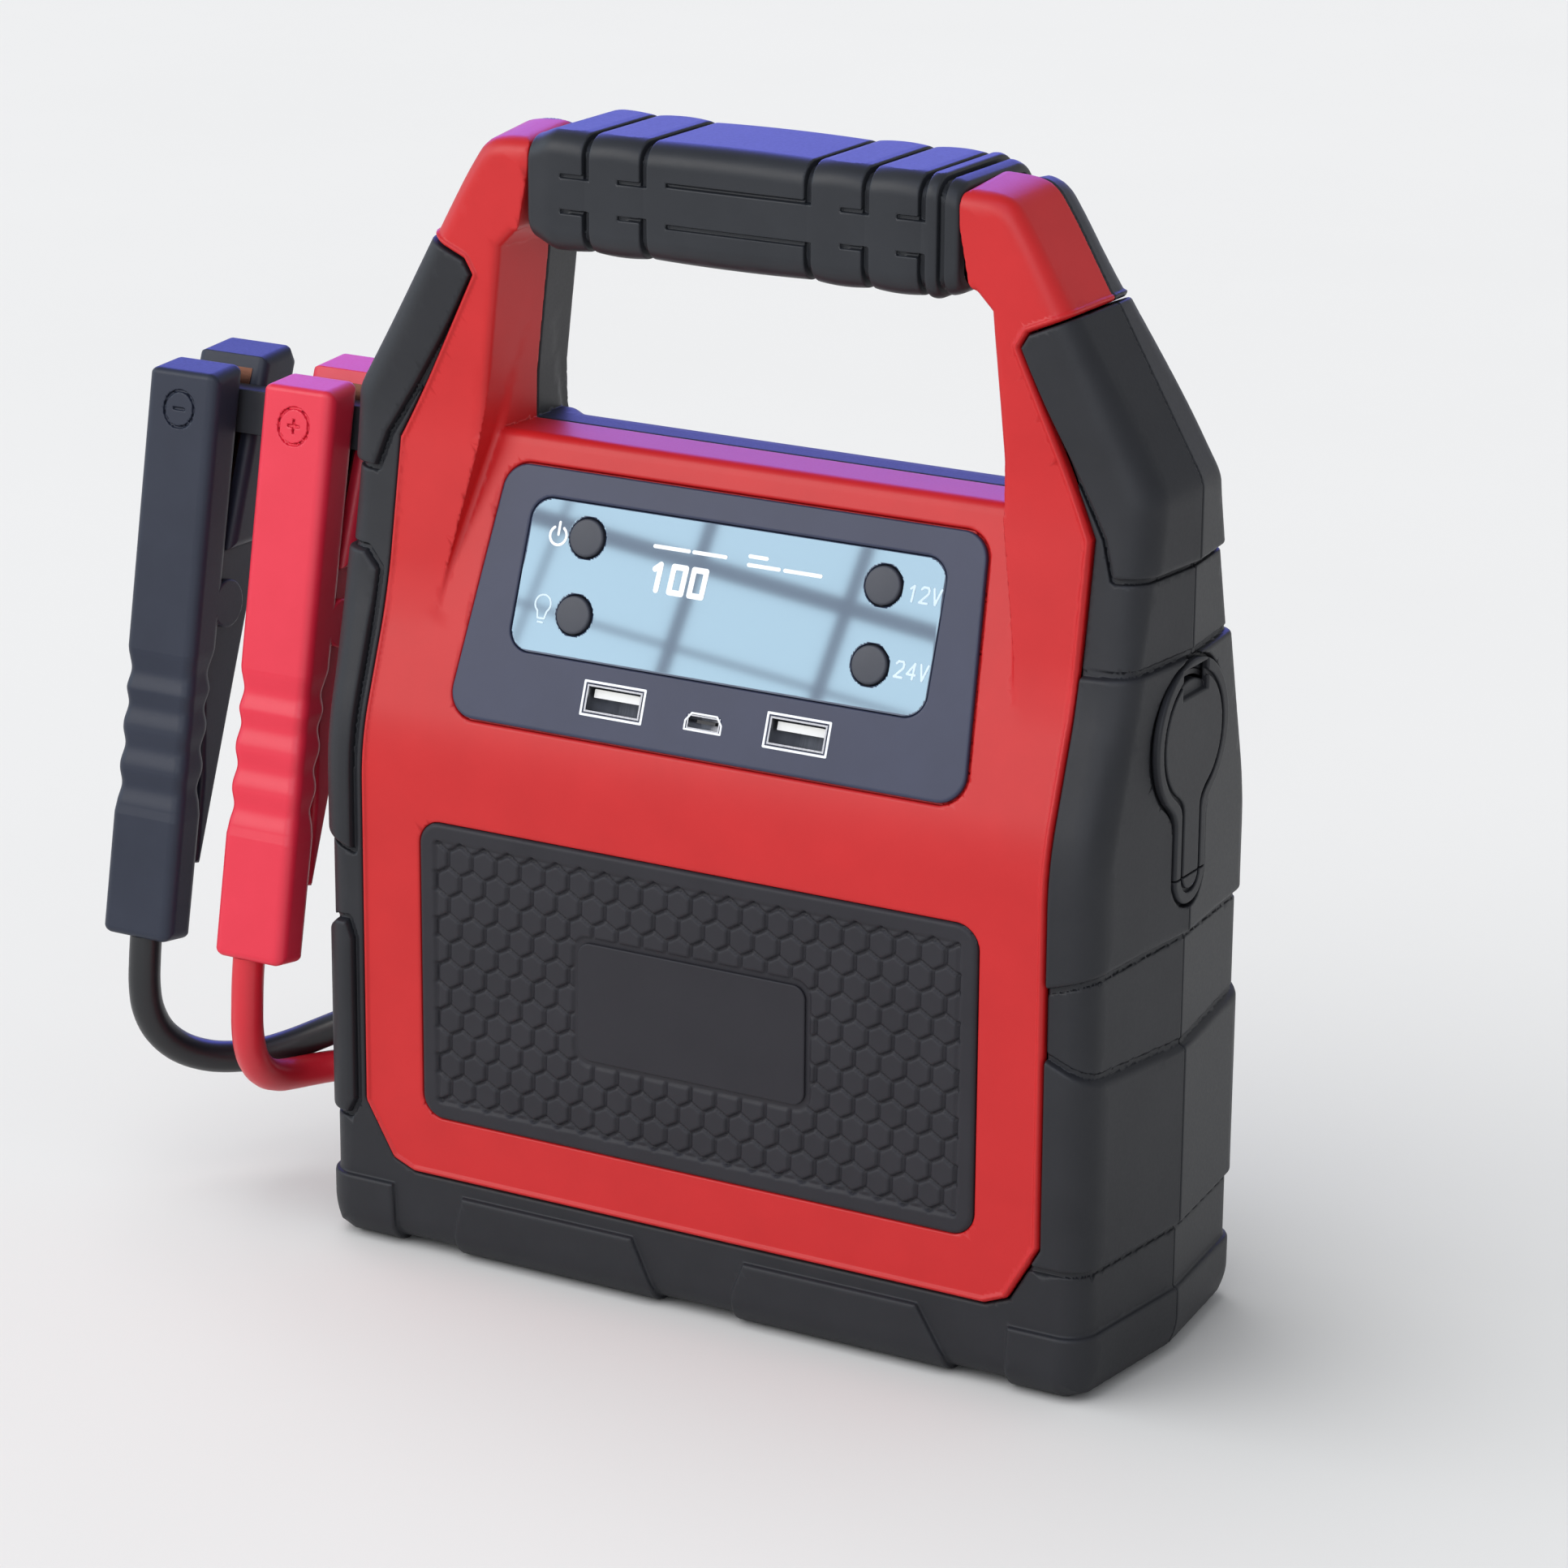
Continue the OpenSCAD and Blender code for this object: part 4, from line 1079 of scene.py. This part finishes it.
wtc, wsep, wmap = wn("ShaderNodeTexCoord"), wn("ShaderNodeSeparateXYZ"), wn("ShaderNodeMapRange")
wmap.inputs["From Min"].default_value = 0.05
wmap.inputs["From Max"].default_value = 0.9
wmap.inputs["To Min"].default_value = 0.74
wmap.inputs["To Max"].default_value = 0.31
wl(wtc.outputs["Generated"], wsep.inputs[0])
wl(wsep.outputs["Z"], wmap.inputs["Value"])
wl(wmap.outputs[0], bg.inputs[1])

object_only = bpy.data.collections.new("lit_object")
for ob in bpy.data.objects:
    if ob.type in ("MESH", "CURVE") and ob is not floor and ob.name != "display_window_cover":
        object_only.objects.link(ob)


def area(name, where, target, size, power, colour, size_y=None, only_object=False, spread=180):
    l = bpy.data.lights.new(name, "AREA")
    l.shape = "RECTANGLE"
    l.size, l.size_y = size, size_y or size
    l.energy = power
    l.color = colour
    l.spread = math.radians(spread)
    o = bpy.data.objects.new(name, l)
    bpy.context.scene.collection.objects.link(o)
    d = Vector(where) - Vector(target)
    o.matrix_world = Matrix.Translation(Vector(where)) @ d.to_track_quat("Z", "Y").to_matrix().to_4x4()
    if only_object:
        o.light_linking.receiver_collection = object_only
    return o


area("key_left", (-1.3, -1.6, 1.25), (0, 0, 0.10), 1.2, 21, (1.0, 0.97, 0.94), only_object=True)
area("front_top", (0.35, -1.6, 0.9), (0, 0, 0.14), 1.4, 8.5, (0.9, 0.94, 1.0), size_y=0.7, only_object=True)
area("top_soft", (0.0, -0.95, 1.6), (0, 0, 0.15), 1.2, 5.2, (0.64, 0.72, 1.0), size_y=0.7, only_object=True)
area("cool_left", (-1.7, -0.35, 0.75), (0, 0, 0.13), 0.9, 5, (0.62, 0.82, 1.0), only_object=True)
area("blue_back", (-0.75, 1.15, 0.85), (0, 0, 0.15), 1.5, 17, (0.10, 0.12, 1.0), size_y=0.9, only_object=True)

# soft light for the floor alone
floor_only = bpy.data.collections.new("lit_floor")
floor_only.objects.link(floor)
sun = bpy.data.lights.new("floor_sun", "SUN")
sun.energy = FLOOR_SUN
sun.angle = math.radians(95)
sun_ob = bpy.data.objects.new("floor_sun", sun)
bpy.context.scene.collection.objects.link(sun_ob)
sun_ob.matrix_world = Vector((-0.75, -0.3, 1.0)).to_track_quat("Z", "Y").to_matrix().to_4x4()
sun_ob.light_linking.receiver_collection = floor_only

# a bright card with thin dark bars across it, mirrored in the display cover alone
panel_c = PANEL @ Vector((0, 0.031, 0))
panel_n = (PANEL.to_3x3() @ Vector((0, 0, 1))).normalized()
eye = cam.matrix_world.translation
mirror_eye = eye - 2 * (eye - panel_c).dot(panel_n) * panel_n
ray0 = (panel_c - mirror_eye).normalized()
card_at = panel_c + ray0 * 0.8
card_x = (PANEL.to_3x3() @ Vector((1, 0, 0)))
card_x = (card_x - card_x.dot(ray0) * ray0).normalized()
card_y = ray0.cross(card_x).normalized() * -1
if card_y.z < 0:
    card_y = -card_y


def on_card(u, v):
    """Where the card shows in the cover at (u, v), in metres along the card's own axes."""
    a = PANEL @ Vector((u * MM, v * MM, 0))
    r = a - mirror_eye
    t = (card_at - mirror_eye).dot(ray0) / r.dot(ray0)
    q = mirror_eye + r * t - card_at
    return q.dot(card_x), q.dot(card_y)


card = bpy.data.lights.new("display_card", "AREA")
card.shape = "RECTANGLE"
card.size, card.size_y = 0.44, 0.26
card.energy = CARD_POWER
card.color = (0.56, 0.85, 1.0)
card.use_nodes = True
cnt_ = card.node_tree
for n_ in list(cnt_.nodes):
    cnt_.nodes.remove(n_)
CN, CL = cnt_.nodes.new, cnt_.links.new
c_out, c_em, c_geo = CN("ShaderNodeOutputLight"), CN("ShaderNodeEmission"), CN("ShaderNodeNewGeometry")
CL(c_em.outputs[0], c_out.inputs[0])
mask = None
for (ua, va, ub, vb, half, soft, keep) in (
        (-60, 44.1, 60, 30.8, 1.0, 1.6, 0.0), (-6.1, 47.8, -12.0, 14.5, 0.8, 1.2, 0.0),
        (30.8, 47.7, 24.4, 13.8, 0.8, 1.2, 0.0), (-40.8, 47.6, -47.7, 19.0, 0.5, 1.0, 0.35),
        (-31.0, 22.6, 41.5, 15.1, 0.4, 1.1, 0.35)):
    (sa, ta), (sb, tb) = on_card(ua, va), on_card(ub, vb)
    ln = math.hypot(sb - sa, tb - ta)
    nx_, ny_ = -(tb - ta) / ln, (sb - sa) / ln
    axis = card_x * nx_ + card_y * ny_
    off = axis.dot(card_at) + sa * nx_ + ta * ny_
    dot = CN("ShaderNodeVectorMath")
    dot.operation = "DOT_PRODUCT"
    dot.inputs[1].default_value = axis
    CL(c_geo.outputs["Position"], dot.inputs[0])
    sub = CN("ShaderNodeMath")
    sub.operation = "SUBTRACT"
    sub.inputs[1].default_value = off
    CL(dot.outputs["Value"], sub.inputs[0])
    ab = CN("ShaderNodeMath")
    ab.operation = "ABSOLUTE"
    CL(sub.outputs[0], ab.inputs[0])
    sm = CN("ShaderNodeMapRange")
    sm.interpolation_type = "SMOOTHSTEP"
    sm.inputs["From Min"].default_value = half * 1.74 * MM
    sm.inputs["From Max"].default_value = (half + soft) * 1.74 * MM
    sm.inputs["To Min"].default_value = keep
    sm.inputs["To Max"].default_value = 1.0
    CL(ab.outputs[0], sm.inputs["Value"])
    if mask is None:
        mask = sm.outputs[0]
    else:
        mu = CN("ShaderNodeMath")
        mu.operation = "MULTIPLY"
        CL(mask, mu.inputs[0])
        CL(sm.outputs[0], mu.inputs[1])
        mask = mu.outputs[0]
CL(mask, c_em.inputs["Strength"])
card_ob = bpy.data.objects.new("display_card", card)
bpy.context.scene.collection.objects.link(card_ob)
side_x = card_y.cross(ray0)
card_ob.matrix_world = Matrix.Translation(card_at) @ Matrix((side_x, card_y, ray0)).transposed().to_4x4()
cover_only = bpy.data.collections.new("lit_display")
cover_only.objects.link(bpy.data.objects["display_window_cover"])
card_ob.light_linking.receiver_collection = cover_only

bpy.context.scene.view_settings.view_transform = "Standard"

bpy.context.view_layer.update()
new_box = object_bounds()


def plain(b):
    return [[float(c) for c in p] for p in b] if hasattr(b, "__len__") else str(b)


{"cad": plain(cad_box), "visual": plain(new_box)}
